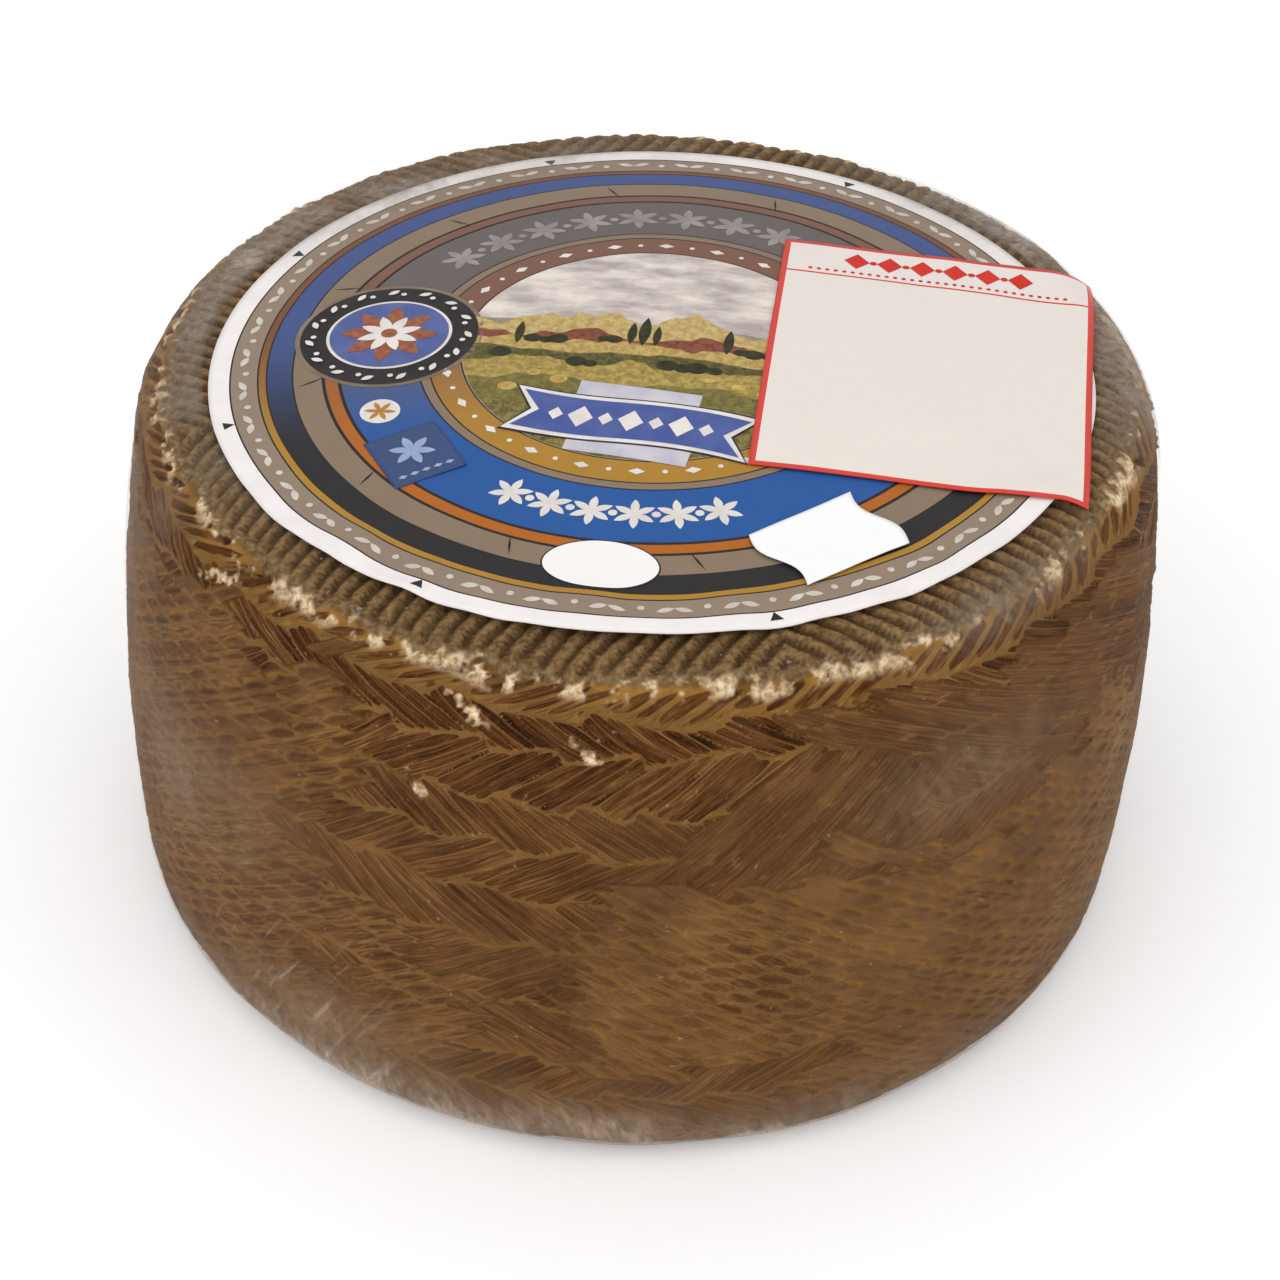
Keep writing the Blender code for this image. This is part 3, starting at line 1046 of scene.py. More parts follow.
    def build(self, finish: Material) -> None:
        """Makes the rind's pieces from the label's edge to the middle of the base.

        Args:
            finish: The rind's finish.
        """
        edges = (("rind_ribs", -10.0, 30), ("rind_rim", 2.0, 37), ("rind_upper_side", 13.0, 52),
                 ("rind_middle_side", 38.5, 52), ("rind_lower_side", 64.0, 52), ("rind_lower_edge", 89.5, 52),
                 ("rind_foot", 115.0, 12))
        ends = [start for _, start, _ in edges[1:]] + [self.disc_start]
        for (name, start, rows), end in zip(edges, ends):
            self._piece(name, start * MM, end * MM, rows, finish)
        self._disc("rind_base", self.disc_start * MM, finish)

    def _piece(self, name: str, start: float, end: float, rows: int, finish: Material) -> None:
        """Makes one ring of the rind.

        Args:
            name: Its name.
            start: Where it starts along the outline.
            end: Where it ends.
            rows: Cells from one to the other.
            finish: The rind's finish.
        """
        thing, across, up = grid_piece(name, self.columns, rows)
        row, column = np.rint(up * rows).astype(int), np.rint(across * self.columns).astype(int)
        steps = np.arange(-1, rows + 2) / rows
        length, angle = np.meshgrid(end + (start - end) * steps, np.arange(self.columns) / self.columns * TAU,
                                    indexing="ij")
        places, values, made = self.skin(length, angle)
        # The rows beyond the piece's ends and the next column round give normals of the whole rind,
        # so that no edge shows between pieces.
        upwards = places[2:] - places[:-2]
        onwards = (np.roll(places, -1, axis=1) - np.roll(places, 1, axis=1))[1:-1]
        normals = np.cross(onwards, upwards)
        normals /= np.linalg.norm(normals, axis=-1, keepdims=True)
        spot = (row + 1, column % self.columns)
        put_points(thing, places[spot])
        add_uv(thing, "plait", made.across[spot], made.along[spot])
        for value_name, value in values.items():
            add_values(thing, value_name, value[spot])
        self._keep_normals(thing, normals[row, column % self.columns])
        mount(thing, Slot.RIND, finish, "cheese_wheel")

    def _keep_normals(self, thing: Object, normals: Array) -> None:
        """Closes the seam and gives the piece these normals.

        Args:
            thing: The piece.
            normals: One for each of its points.
        """
        attribute = thing.data.attributes.new("whole_normal", "FLOAT_VECTOR", "POINT")
        attribute.data.foreach_set("vector", normals.astype(np.float32).ravel())
        close_seam(thing)
        shade(thing)
        kept = np.empty(len(thing.data.vertices) * 3, np.float32)
        thing.data.attributes["whole_normal"].data.foreach_get("vector", kept)
        thing.data.attributes.remove(thing.data.attributes["whole_normal"])
        thing.data.normals_split_custom_set_from_vertices(kept.reshape(-1, 3))

    def _disc(self, name: str, start: float, finish: Material) -> None:
        """Closes the middle of the base.

        Args:
            name: The piece's name.
            start: Where it starts along the outline.
            finish: The rind's finish.
        """
        thing, across, up = grid_piece(name, 180, 40)
        angle = np.where(across > 1 - 1e-6, 0.0, across * TAU)
        put_points(thing, self.skin(start + FORM.outline(np.array(start))[0] * (1 - up), angle)[0])
        close_seam(thing)
        shade(thing)
        mount(thing, Slot.RIND, finish)


@dataclass(frozen=True)
class RindFinish:
    """Natural rind: pressed curd, rubbed and dried, brown where the strands pressed it dense and dull.

    The ridges between strands stay paler, and broken edges show the cream-coloured curd. Shade in the
    furrows, pits, chips and scale middles, and a highlight on the scales' upper rims, are painted into the
    colour.
    """

    deep: str = "2C1305"
    strand: str = "512D10"
    strand_pale: str = "6C4724"
    ridge: str = "8F6C3A"
    matrix: str = "5A3B1B"
    pale_matrix: str = "9B6F33"
    amber: str = "7C4F10"
    # Painted highlight on the scales' upper rims.
    light: str = "A07C44"
    rib: str = "8E714A"
    rib_shade: str = "62472A"
    # Painted shade in the rib furrows, crumb pits, chips and scale middles.
    furrow: str = "33200E"
    cream: str = "E9D2AE"
    cream_shade: str = "A08058"
    worn: str = "583B22"
    worn_pale: str = "74532F"
    widest_line: float = 0.05
    fibres_in_strand: float = 2.2
    fibre_length: float = 12.0

    def material(self) -> Material:
        """Makes the finish.

        Returns:
            The material.
        """
        material, add, shader = new_material("pressed_curd_rind")
        place = add("TexCoord", out="Object")
        value = {name: add("Attribute " + name, out="Fac")
                 for name in ("reach", "tone", "rib", "furrow", "cream", "pale", "amber", "light", "soft")}
        speck, cloud = (
            add("TexNoise", {"Vector": place, "Scale": 1 / size, "Detail": 4.0, "Roughness": rough})
            for size, rough in ((1.1 * MM, 0.6), (13 * MM, 0.55)))
        plait = add("UVMap plait", out="UV")
        fibre = self._fibre(add, plait, self.fibres_in_strand, self.fibre_length)
        fine = self._fibre(add, plait, self.fibres_in_strand * 2.6, self.fibre_length * 0.5)

        strand, own, edge = self._strands(add, plait, value["reach"])
        level = add("Math MULTIPLY_ADD", own, 0.34, -0.17)
        grain = add("MapRange", fibre, 0.3, 0.7, -0.26, 0.26)
        streak = add("MapRange", fine, 0.34, 0.66, -0.3, 0.3)
        for part in (value["tone"], grain, streak):
            level = add("Math ADD", level, part)
        tones = add("ValToRGB", level)
        steps = tones.node.color_ramp.elements
        steps[0].color, steps[1].color = linear(self.deep), linear(self.ridge)
        steps.new(0.36).color = linear(self.strand)
        steps.new(0.7).color = linear(self.strand_pale)

        mottle = add("Mix FLOAT", 0.5, cloud, fine)
        grains = add("MapRange", speck, 0.36, 0.62)
        colour, worn, ribs, curd = (add("Mix RGBA", *pair) for pair in (
            (add("MapRange", fine, 0.32, 0.72), self.matrix, self.ridge),
            (add("MapRange", mottle, 0.3, 0.7), self.worn, self.worn_pale),
            (grains, self.rib_shade, self.rib),
            (grains, self.cream_shade, self.cream),
        ))
        softness = add("Math MULTIPLY", value["soft"], 0.9)
        # The light and furrow mixes are painted highlight and painted shade.
        for share, over in (
            (value["pale"], self.pale_matrix), (strand, tones), (edge, self.ridge), (softness, worn),
            (value["amber"], self.amber), (value["light"], self.light), (value["rib"], ribs),
            (value["cream"], curd), (value["furrow"], self.furrow),
        ):
            colour = add("Mix RGBA", share, colour, over)
        shift = add("MapRange", cloud, 0.3, 0.7, 0.85, 1.15)
        colour = add("HueSaturation", {"Color": colour, "Value": shift})

        height = add("Math MULTIPLY", fibre, strand)
        height = add("Math MULTIPLY_ADD", speck, 0.6, height)
        bump = add("Bump", {"Height": height, "Strength": 0.6, "Distance": 0.22 * MM})
        rough = add("MapRange", speck, 0.0, 1.0, 0.5, 0.75)
        feed(shader, {"Base Color": colour, "Normal": bump, "Roughness": rough, "Specular IOR Level": 0.05})
        return material

    def _strands(self, add: Add, plait: NodeSocket, reach: NodeSocket) -> tuple[NodeSocket, ...]:
        """Where the strands are: whole numbers across are the lines between them, of uneven width.

        Args:
            add: What adds a node to the material.
            plait: Strands across and millimetres along.
            reach: 0 at a strand's end and 1 where it has its full width.

        Returns:
            The strands' mask, a draw for each strand, and where the thin raised line at its edge is.
        """
        across = add("SeparateXYZ", plait, out="X")
        cell, line = (add("Math " + kind, across) for kind in ("FLOOR", "ROUND"))
        own, weight = (add("TexWhiteNoise 1D", {"W": key}, out="Value") for key in (cell, line))
        off = add("Math SUBTRACT", across, line)
        off = add("Math ABSOLUTE", off)
        gap = add("MapRange", weight, 0.0, 1.0, -0.02, self.widest_line)
        closed = add("Math SUBTRACT", 1.0, reach)
        closed = add("Math POWER", closed, 1.8, use_clamp=True)
        gap = add("Math MULTIPLY_ADD", closed, 0.60, gap)
        inner = add("Math SUBTRACT", off, gap)
        mask = add("MapRange SMOOTHSTEP", inner, -0.04, 0.08)
        near = add("Math ABSOLUTE", inner)
        edge = add("MapRange", near, 0.0, 0.07, 0.55, 0.0)
        drawn = add("VectorMath MULTIPLY", plait, (1.0, 0.25, 0))
        gaps = add("TexNoise", {"Vector": drawn, "Scale": 1.0, "Detail": 2.0})
        shown = add("MapRange", gaps, 0.35, 0.65)
        return mask, own, add("Math MULTIPLY", edge, shown)

    def _fibre(self, add: Add, plait: NodeSocket, count: float, length: float) -> NodeSocket:
        """Noise drawn out along the strands, with this many fibres across one and this length in mm."""
        drawn = add("VectorMath MULTIPLY", plait, (count, 1 / length, 0))
        return add("TexNoise", {"Vector": drawn, "Scale": 1.0, "Detail": 3.0, "Roughness": 0.6})


# ---------------------------------------------------------------- paper


# The shader's constants for coated and printed paper.
COATED = {"Roughness": 0.45, "Specular IOR Level": 0.15}


@dataclass(frozen=True)
class LabelPlace:
    """Where the round label lies and how high its paper is."""

    middle: tuple[float, float] = (2.9 * MM, -1.3 * MM)
    radius: float = 80.0 * MM
    top: float = 0.7 * MM
    turn: float = math.radians(-8)

    def cockle(self, east: Array, north: Array) -> Array:
        """Works out how the damp paper stands off its bed, most at its front edge.

        Args:
            east: Points' x.
            north: Their y.

        Returns:
            How far it stands off there.
        """
        x, y = east - self.middle[0], north - self.middle[1]
        edge = smooth(58 * MM, 80 * MM, np.hypot(x, y))
        front = smooth(0.0, 60 * MM, -y)
        spot = np.stack([east, north, 0 * east], -1)
        swell = 0.16 * uneven_noise(spot, 24 * MM, 101) + 0.07 * uneven_noise(spot, 11 * MM, 102)
        waves = 0.55 * uneven_noise(spot, 8 * MM, 103) + 0.5 * uneven_noise(spot, 22 * MM, 104)
        corner = np.exp(-(((x + 38 * MM) / (26 * MM)) ** 2) - ((y + 68 * MM) / (20 * MM)) ** 2)
        return MM * (swell + edge * front * (0.35 + waves) + 0.9 * edge * corner)

    def paper_height(self, east: Array, north: Array) -> Array:
        """Height of the printed face over a point of the frame."""
        return FORM.top_height(east, north) + self.top + self.cockle(east, north)

    def matrix(self) -> Matrix:
        """From the print's own upright frame, in the label's middle, to the frame of the scene."""
        return Matrix.Translation((*self.middle, 0)) @ Matrix.Rotation(self.turn, 4, "Z")


LABEL = LabelPlace()


@dataclass(frozen=True)
class LabelFinish:
    """Coated label paper, offset printed in flat rings of colour: a smooth, faintly fibrous face.

    Front and back are the tones of five rings from the outside in: the thin one, the dark one, the
    one round the field, the field, and the one round the picture.
    """

    white: str = "F2ECEA"
    taupe: str = "94816F"
    line: str = "2A2523"
    frame: str = "8A7763"
    sky: str = "C9BDB2"
    front: tuple[str, ...] = ("AE8130", "2B292A", "B2641E", "26589C", "AE8130")
    back: tuple[str, ...] = ("7B4F35", "44568A", "7F5A4A", "6A615F", "7F5A4A")

    def material(self) -> Material:
        """Makes the finish, whose rings are drawn by distance from the label's middle.

        Returns:
            The material.
        """
        material, add, shader = new_material("printed_label_paper")
        place = add("TexCoord", out="Object")
        off = add("VectorMath SUBTRACT", place, (*LABEL.middle, 0))
        flat = add("VectorMath MULTIPLY", off, (1, 1, 0))
        radius = add("VectorMath LENGTH", flat, out="Value")
        radius = add("Math DIVIDE", radius, LABEL.radius)
        front, back = (self._rings(add, radius, tones) for tones in (self.front, self.back))
        north = add("SeparateXYZ", off, out="Y")
        towards_back = add("MapRange SMOOTHSTEP", north, -30 * MM, 14 * MM)
        colour = add("Mix RGBA", towards_back, front, back)
        blotch = add("TexNoise", {"Vector": place, "Scale": 1 / (6 * MM), "Detail": 4.0})
        shift = add("MapRange", blotch, 0.0, 1.0, 0.9, 1.08)
        colour = add("HueSaturation", {"Color": colour, "Value": shift})
        feed(shader, {"Base Color": colour, **COATED})
        return material

    def _rings(self, add: Add, radius: NodeSocket, tones: tuple[str, ...]) -> NodeSocket:
        """Draws the print's rings from the middle out, as (end in mm, colour).

        Args:
            add: What adds a node to the material.
            radius: The distance from the middle, as a share of the label's radius.
            tones: The colours of the five rings that differ from front to back.

        Returns:
            Their colour.
        """
        thin, band, warm, ground, inner = tones
        rings = ((34.2, self.sky), (34.6, self.line), (40.2, inner), (40.6, self.line), (42.0, self.frame),
                 (42.4, self.line), (56.2, ground), (56.6, self.line), (59.0, warm), (59.4, self.line),
                 (64.6, self.frame), (65.0, self.line), (69.2, band), (69.5, self.line), (70.7, thin),
                 (71.0, self.line), (75.8, self.taupe), (76.1, self.line), (80.0, self.white))
        drawn = add("ValToRGB", radius)
        ramp = drawn.node.color_ramp
        ramp.interpolation = "CONSTANT"
        ramp.elements[0].color = linear(rings[0][1])
        ramp.elements.remove(ramp.elements[1])
        for (end, _), (_, colour) in zip(rings, rings[1:]):
            ramp.elements.new(end * MM / LABEL.radius).color = linear(colour)
        return drawn


def flat_disc(half_wide: float, half_high: float, around: int = 48, rings: int = 1) -> Object:
    """Models a flat disc or oval as rings drawn inwards from its rim.

    Args:
        half_wide: Half its width.
        half_high: Half its height.
        around: Points on its rim.
        rings: How many rings it has from the rim to the middle.

    Returns:
        The disc, facing up.
    """
    deselect_all()
    bpy.ops.mesh.primitive_circle_add(vertices=around, radius=1.0, location=(0, 0, 0))
    disc = bpy.context.object
    bpy.ops.object.mode_set(mode="EDIT")
    for ring in range(rings, 1, -1):
        bpy.ops.mesh.extrude_edges_move()
        bpy.ops.transform.resize(value=((ring - 1) / ring, (ring - 1) / ring, 1), center_override=(0, 0, 0))
    bpy.ops.mesh.edge_face_add()
    if rings > 1:
        bpy.ops.mesh.poke()
    bpy.ops.mesh.select_all(action="SELECT")
    bpy.ops.mesh.normals_make_consistent(inside=False)
    bpy.ops.transform.resize(value=(half_wide, half_high, 1), center_override=(0, 0, 0))
    bpy.ops.object.mode_set(mode="OBJECT")
    face_up(disc)
    return disc


def face_up(thing: Object) -> None:
    """Turns a flat piece's normals up."""
    if thing.data.polygons[0].normal.z < 0:
        thing.data.flip_normals()


def leaf(long: float, wide: float) -> Object:
    """Models a flat leaf, pointed at both ends, whose stalk end is at the origin.

    Args:
        long: Its length.
        wide: Its greatest width.

    Returns:
        The leaf, facing up.
    """
    shape = flat_disc(1.0, 1.0, around=20)
    for vertex in shape.data.vertices:
        along, across = vertex.co.x, vertex.co.y
        vertex.co.x = (along + 1) / 2 * long
        vertex.co.y = across * math.sqrt(max(0.0, 1 - along * along)) * wide / 2
    return shape


@dataclass(frozen=True)
class Spot:
    """A place on a sheet in its own frame, in millimetres, with a turn in degrees and a size."""

    x: float
    y: float
    turn: float = 0.0
    size: float = 1.0

    def turned(self, turn: float, size: float = 1.0) -> "Spot":
        """The same place, turned by this much more."""
        return Spot(self.x, self.y, self.turn + turn, size)

    def shifted(self, x: float, y: float) -> "Spot":
        """A place moved by this much."""
        return Spot(self.x + x, self.y + y, self.turn, self.size)


def around_ring(radius: float, start: float, end: float, count: int) -> list[Spot]:
    """Spaces places evenly round a ring, each turned to face outwards.

    Args:
        radius: The ring's radius.
        start: The direction in which it starts, in degrees.
        end: The direction in which it ends.
        count: How many places.

    Returns:
        The places.
    """
    angles = [start + (end - start) * (number + 0.5) / count for number in range(count)]
    return [Spot(radius * math.cos(math.radians(angle)), radius * math.sin(math.radians(angle)), angle - 90)
            for angle in angles]


def copied(pattern: Object, name: str, spots: list[Spot], sheet: Matrix) -> Object:
    """Copies a flat pattern to places on a sheet, as one piece.

    Args:
        pattern: The flat shape in millimetres, which is used up.
        name: The piece's name.
        spots: Where its copies go.
        sheet: From the sheet's frame to the frame of the scene.

    Returns:
        The piece.
    """
    deselect_all()
    twins = []
    for spot in spots:
        twin = pattern.copy()
        twin.data = pattern.data.copy()
        bpy.context.collection.objects.link(twin)
        place = Matrix.Translation((spot.x * MM, spot.y * MM, 0))
        turn = Matrix.Rotation(math.radians(spot.turn), 4, "Z")
        twin.data.transform(sheet @ place @ turn @ Matrix.Scale(spot.size * MM, 4))
        twins.append(twin)
        twin.select_set(True)
    bpy.data.objects.remove(pattern)
    bpy.context.view_layer.objects.active = twins[0]
    if len(twins) > 1:
        bpy.ops.object.join()
    piece = bpy.context.view_layer.objects.active
    piece.name = piece.data.name = name
    return piece


@dataclass(frozen=True)
class Ink:
    """Flat offset ink on coated paper, a little uneven in tone where it has a second colour."""

    name: str
    colour: str
    second: str = ""
    mottle: float = 5.0

    @cache
    def material(self) -> Material:
        """Makes the finish.

        Returns:
            The material.
        """
        material, add, shader = new_material(self.name)
        colour = self.colour
        if self.second:
            place = add("TexCoord", out="Object")
            noise = add("TexNoise", {"Vector": place, "Scale": 1 / (self.mottle * MM), "Detail": 4.0})
            share = add("MapRange", noise, 0.35, 0.65)
            colour = add("Mix RGBA", share, colour, self.second)
        feed(shader, {"Base Color": colour, **COATED})
        return material


WHITE_INK = Ink("white_ink", "E9E3DD", "DAD3CE")
BLACK_INK = Ink("black_ink", "262223", "322D2E")


@dataclass(frozen=True)
class Ground:
    """One strip of painted land.

    Its upper edge is in mm over the picture's middle, and so are how much that rises and falls and
    how far apart its rises are.
    """

    edge: float
    rise: float
    spacing: float
    colour: str
    second: str


@dataclass(frozen=True)
class PaintedLand:
    """The label's middle picture, as if in gouache: cloudy sky over rolling wheat land."""

    cloud: str = "EAE0D5"
    sky: str = "B0A4A2"
    grounds: tuple[Ground, ...] = (
        Ground(7.0, 3.0, 21.0, "8A8470", "9C9078"),
        Ground(8.5, 9.0, 17.0, "CDB577", "B0955A"),
        Ground(3.0, 3.5, 12.0, "713A2C", "8E5340"),
        Ground(0.5, 3.0, 10.0, "C9AE6A", "A88C4C"),
        Ground(-3.0, 2.5, 17.0, "4A4626", "6B6232"),
        Ground(-6.0, 3.0, 11.0, "B8A05A", "8F7B3E"),
        Ground(-12.0, 3.0, 14.0, "66602F", "857840"),
        Ground(-19.0, 3.0, 16.0, "8F7F46", "5A5428"),
    )

    def material(self) -> Material:
        """Makes the finish: each strip of land covers what is behind it.

        Returns:
            The material.
        """
        material, add, shader = new_material("painted_print")
        place = add("TexCoord", out="Object")
        off = add("VectorMath SUBTRACT", place, (*LABEL.middle, 0))
        upright = add("VectorRotate Z_AXIS", {"Vector": off, "Angle": -LABEL.turn})
        picture = add("VectorMath MULTIPLY", upright, (1 / MM, 1 / MM, 0))
        east, north = (add("SeparateXYZ", picture, out=axis) for axis in "XY")
        long = add("VectorMath MULTIPLY", picture, (0.07, 0.16, 0))
        clouds = add("TexNoise", {"Vector": long, "Scale": 1.0, "Detail": 5.0, "Roughness": 0.6})
        brush = add("TexNoise", {
            "Vector": picture, "Scale": 0.7, "Detail": 4.0, "Roughness": 0.65, "Distortion": 0.6})
        clouds = add("MapRange", clouds, 0.38, 0.62)
        dabs = add("MapRange", brush, 0.4, 0.6)
        colour = add("Mix RGBA", clouds, self.sky, self.cloud)
        for number, ground in enumerate(self.grounds):
            run = add("Math MULTIPLY_ADD", east, 1 / ground.spacing, 7.3 * number)
            hills = add("TexNoise 1D", {"W": run, "Scale": 1.0, "Detail": 3.0, "Roughness": 0.5})
            top = add("Math MULTIPLY_ADD", hills, 2 * ground.rise, ground.edge - ground.rise)
            below = add("Math SUBTRACT", top, north)
            mask = add("MapRange", below, -0.1, 0.25)
            land = add("Mix RGBA", dabs, ground.colour, ground.second)
            colour = add("Mix RGBA", mask, colour, land)
        feed(shader, {"Base Color": colour, **COATED})
        return material


@dataclass
class RoundLabel:
    """The round label under the film, with its print in thin flat pieces, in millimetres."""

    thickness: float = 0.25 * MM
    layer: float = 0.05 * MM
    picture: float = 34.3
    medallion: Spot = Spot(-48.4, 0.0)
    ribbon: Spot = Spot(-0.6, -23.5, -6.0)
    round_mark: Spot = Spot(-45.1546, -24.3210)
    trees: tuple[tuple[float, float, float], ...] = (
        (-22, 0.5, 1.0), (-19.4, 0.1, 0.8), (-17.3, 0.6, 1.1), (-9, 1.6, 0.7), (-7.2, 1.5, 0.9),
        (3.5, -5.6, 1.2), (6.3, -6.0, 1.0), (8.8, -5.5, 1.3), (12, -5.8, 0.9), (16, 1.2, 0.8),
        (18.2, 1.0, 1.1), (21, 0.8, 0.7), (-13, -6.4, 1.1), (-10.4, -6.8, 0.8), (24.5, -5.2, 1.2),
        (-27, -4.5, 1.2))
    tall_trees: tuple[tuple[float, float, float], ...] = (
        (-4.2, 0.2, 1.0), (-2.0, 0.0, 1.3), (0.4, 0.3, 0.9), (13.4, 0.0, 1.1), (-24.6, -1.5, 1.0))
    bales: tuple[tuple[float, float, float], ...] = (
        (-20, -10.6, 1.0), (-15.2, -12.2, 1.2), (16.8, -10.2, 1.0), (21.8, -11.8, 1.25),
        (11.5, -9.0, 0.8), (-24, -15.2, 1.3), (24, -16.4, 1.3))
    wave: float = 0.7
    wave_half: float = 22.0

    def build(self, finish: Material) -> None:
        """Makes the sheet, then prints it.

        Args:
            finish: The sheet's finish.
        """
        sheet = flat_disc(LABEL.radius, LABEL.radius, around=288, rings=64)
        sheet.name = sheet.data.name = "label_sheet"
        sheet.data.transform(Matrix.Translation((*LABEL.middle, 0)))
        lay_on_label(sheet, 0.0)
        give_thickness(sheet, self.thickness)
        shade(sheet)
        mount(sheet, Slot.LABEL, finish, "round_label")
        self._borders()
        self._fields()
        self._landscape()
        self._medallion()
        self._ribbon()
        self._small_marks()

    def _print(self, name: str, pattern: Object, spots: list[Spot], ink: Ink | PaintedLand,
               layer: int = 1) -> None:
        """Prints copies of a flat pattern on the label as one piece.

        Args:
            name: The piece's name.
            pattern: The flat shape in millimetres, which is used up.
            spots: Where its copies go.
            ink: Its finish.
            layer: Which layer over the paper it is in.
        """
        piece = copied(pattern, name, spots, LABEL.matrix())
        lay_on_label(piece, layer * self.layer)
        shade(piece)
        mount(piece, Slot.LABEL, ink.material(), "round_label")

    def _borders(self) -> None:
        """Prints the ornaments of the outer and inner rings, the frame's joints and the edge's marks."""
        pale = Ink("pale_taupe_ink", "D9D0C6", "C6BCB0")
        line = Ink("frame_line_ink", "241E1C")
        outer, inner = around_ring(73.3, 0, 360, 84), around_ring(37.4, 0, 360, 48)
        self._print("outer_ring_dots", flat_disc(0.62, 0.62, 12), outer[::2], pale)
        for name, turn in (("outer_ring_leaves", 18), ("outer_ring_leaves_back", 162)):
            self._print(name, leaf(3.2, 1.3), [spot.turned(turn) for spot in outer[1::2]], pale)
        self._print("inner_ring_lozenges", flat_disc(1.5, 0.85, 4), inner[::2], WHITE_INK)
        self._print("inner_ring_dots", flat_disc(0.5, 0.5, 12), inner[1::2], WHITE_INK)
        joints = [spot.turned(22) for spot in around_ring(61.5, 0, 360, 12)]
        self._print("frame_joints", flat_disc(0.22, 2.6, 4), joints, line)
        edge = [spot.turned(180) for spot in around_ring(77.6, 0.5, 360.5, 8)]
        self._print("edge_marks", flat_disc(1.35, 1.35, 3), edge, BLACK_INK)

    def _fields(self) -> None:
        """Prints the sprigs on the blue field and the grey scrolls on the dark one."""
        grey = Ink("grey_ink", "A09893", "8A827E")
        for name, start, end, count, ink, size in (
            ("front_sprigs", -116.0, -64.0, 6, WHITE_INK, 1.0),
            ("back_sprigs", 52.0, 150.0, 9, grey, 1.12),
        ):
            leaves = [spot.turned(turn, size) for spot in around_ring(49.0, start, end, count)
                      for turn in range(30, 360, 60)]
            self._print(name, leaf(3.9, 1.55), leaves, ink)
            gap = (end - start) / count
            joins = around_ring(49.0, start + gap / 2, end - gap / 2, count - 1)
            self._print(name + "_dots", flat_disc(0.8, 0.8, 16), joins, ink)

    def _landscape(self) -> None:
        """Prints the picture, its trees and its straw bales."""
        picture = flat_disc(self.picture, self.picture, 120, 28)
        self._print("painted_picture", picture, [Spot(0, 0)], PaintedLand())
        green = Ink("dark_foliage_ink", "26261A", "3A3A22", 1.5)
        straw = Ink("straw_ink", "D2B565", "A98A42", 1.5)
        for name, pattern, places, turn, ink in (
            ("tree_crowns", flat_disc(1.7, 1.35, 14, 2), self.trees, 0, green),
            ("cypresses", leaf(7.4, 1.7), self.tall_trees, 90, green),
            ("straw_bales", flat_disc(1.35, 1.0, 16), self.bales, 8, straw),
        ):
            self._print(name, pattern, [Spot(x, y, turn, size) for x, y, size in places], ink, 2)

    def _medallion(self) -> None:
        """Prints the round medallion with its rosette."""
        rim = Ink("taupe_ink", "8C7A68", "7C6B5A")
        blue = Ink("dusty_blue_ink", "5C6AA0", "4F5E96")
        russet = Ink("russet_ink", "8C4B33", "A4674A", 1.5)
        middle = self.medallion
        for layer, (name, radius, ink) in enumerate((
            ("medallion_rim", 17.2, rim), ("medallion_ring", 16.3, BLACK_INK),
            ("medallion_line", 11.5, WHITE_INK), ("medallion_ground", 10.9, blue),
        ), start=1):
            self._print(name, flat_disc(radius, radius, 72, 14), [middle], ink, layer)
        beads = [spot.shifted(middle.x, middle.y).turned(90) for spot in around_ring(13.9, 0, 360, 30)]
        leaves = [bead.turned(-60) for bead in beads[::2]]
        self._print("medallion_leaves", leaf(2.5, 1.2), leaves, WHITE_INK, 5)
        self._print("medallion_dots", flat_disc(0.55, 0.55, 10), beads[1::2], WHITE_INK, 5)
        petals = [middle.turned(45 * number) for number in range(8)]
        self._print("rosette_petals", leaf(9.2, 3.6), petals, russet, 5)
        inner = [petal.turned(22.5) for petal in petals]
        self._print("rosette_inner_petals", leaf(6.0, 2.2), inner, WHITE_INK, 6)
        self._print("rosette_eye", flat_disc(1.5, 1.5, 20), [middle], russet, 7)

    def _ribbon(self) -> None:
        """Prints the swallow-tailed ribbon across the picture."""
        line = Ink("ribbon_line_ink", "2E2A3A")
        blue = Ink("ribbon_blue_ink", "46579A", "5363A0")
        fold = Ink("pale_ribbon_ink", "CFCBD2", "B9B7C6")
        here = self.ribbon
        above, below = here.shifted(0.4, 8.4).turned(2), here.shifted(0.4, -8.2)
        for name, spot, long, high, notch, ink, layer in (
            ("ribbon_fold_above", above, 22, 4.2, 0.0, fold, 2),
            ("ribbon_fold_below", below, 22, 4.2, 0.0, fold, 2),
            ("ribbon_outline", here, 45.0, 13.4, 4.0, line, 3),
            ("ribbon_border", here, 44.0, 12.6, 4.0, WHITE_INK, 4),
            ("ribbon_ground", here, 41.2, 10.6, 4.0, blue, 5),
        ):
            self._print(name, self._band(name, long, high, notch), [spot], ink, layer)
        turn = math.radians(here.turn)
        row = []
        for number in range(7):
            x = 4.5 * (number - 3)
            rise = x * math.sin(turn) + self.wave * math.sin(math.pi * x / self.wave_half)
            row.append(here.shifted(x * math.cos(turn), rise).turned(0, 1.35 if number % 2 else 0.8))
        self._print("ribbon_diamonds", flat_disc(1.7, 2.3, 4), row, WHITE_INK, 6)

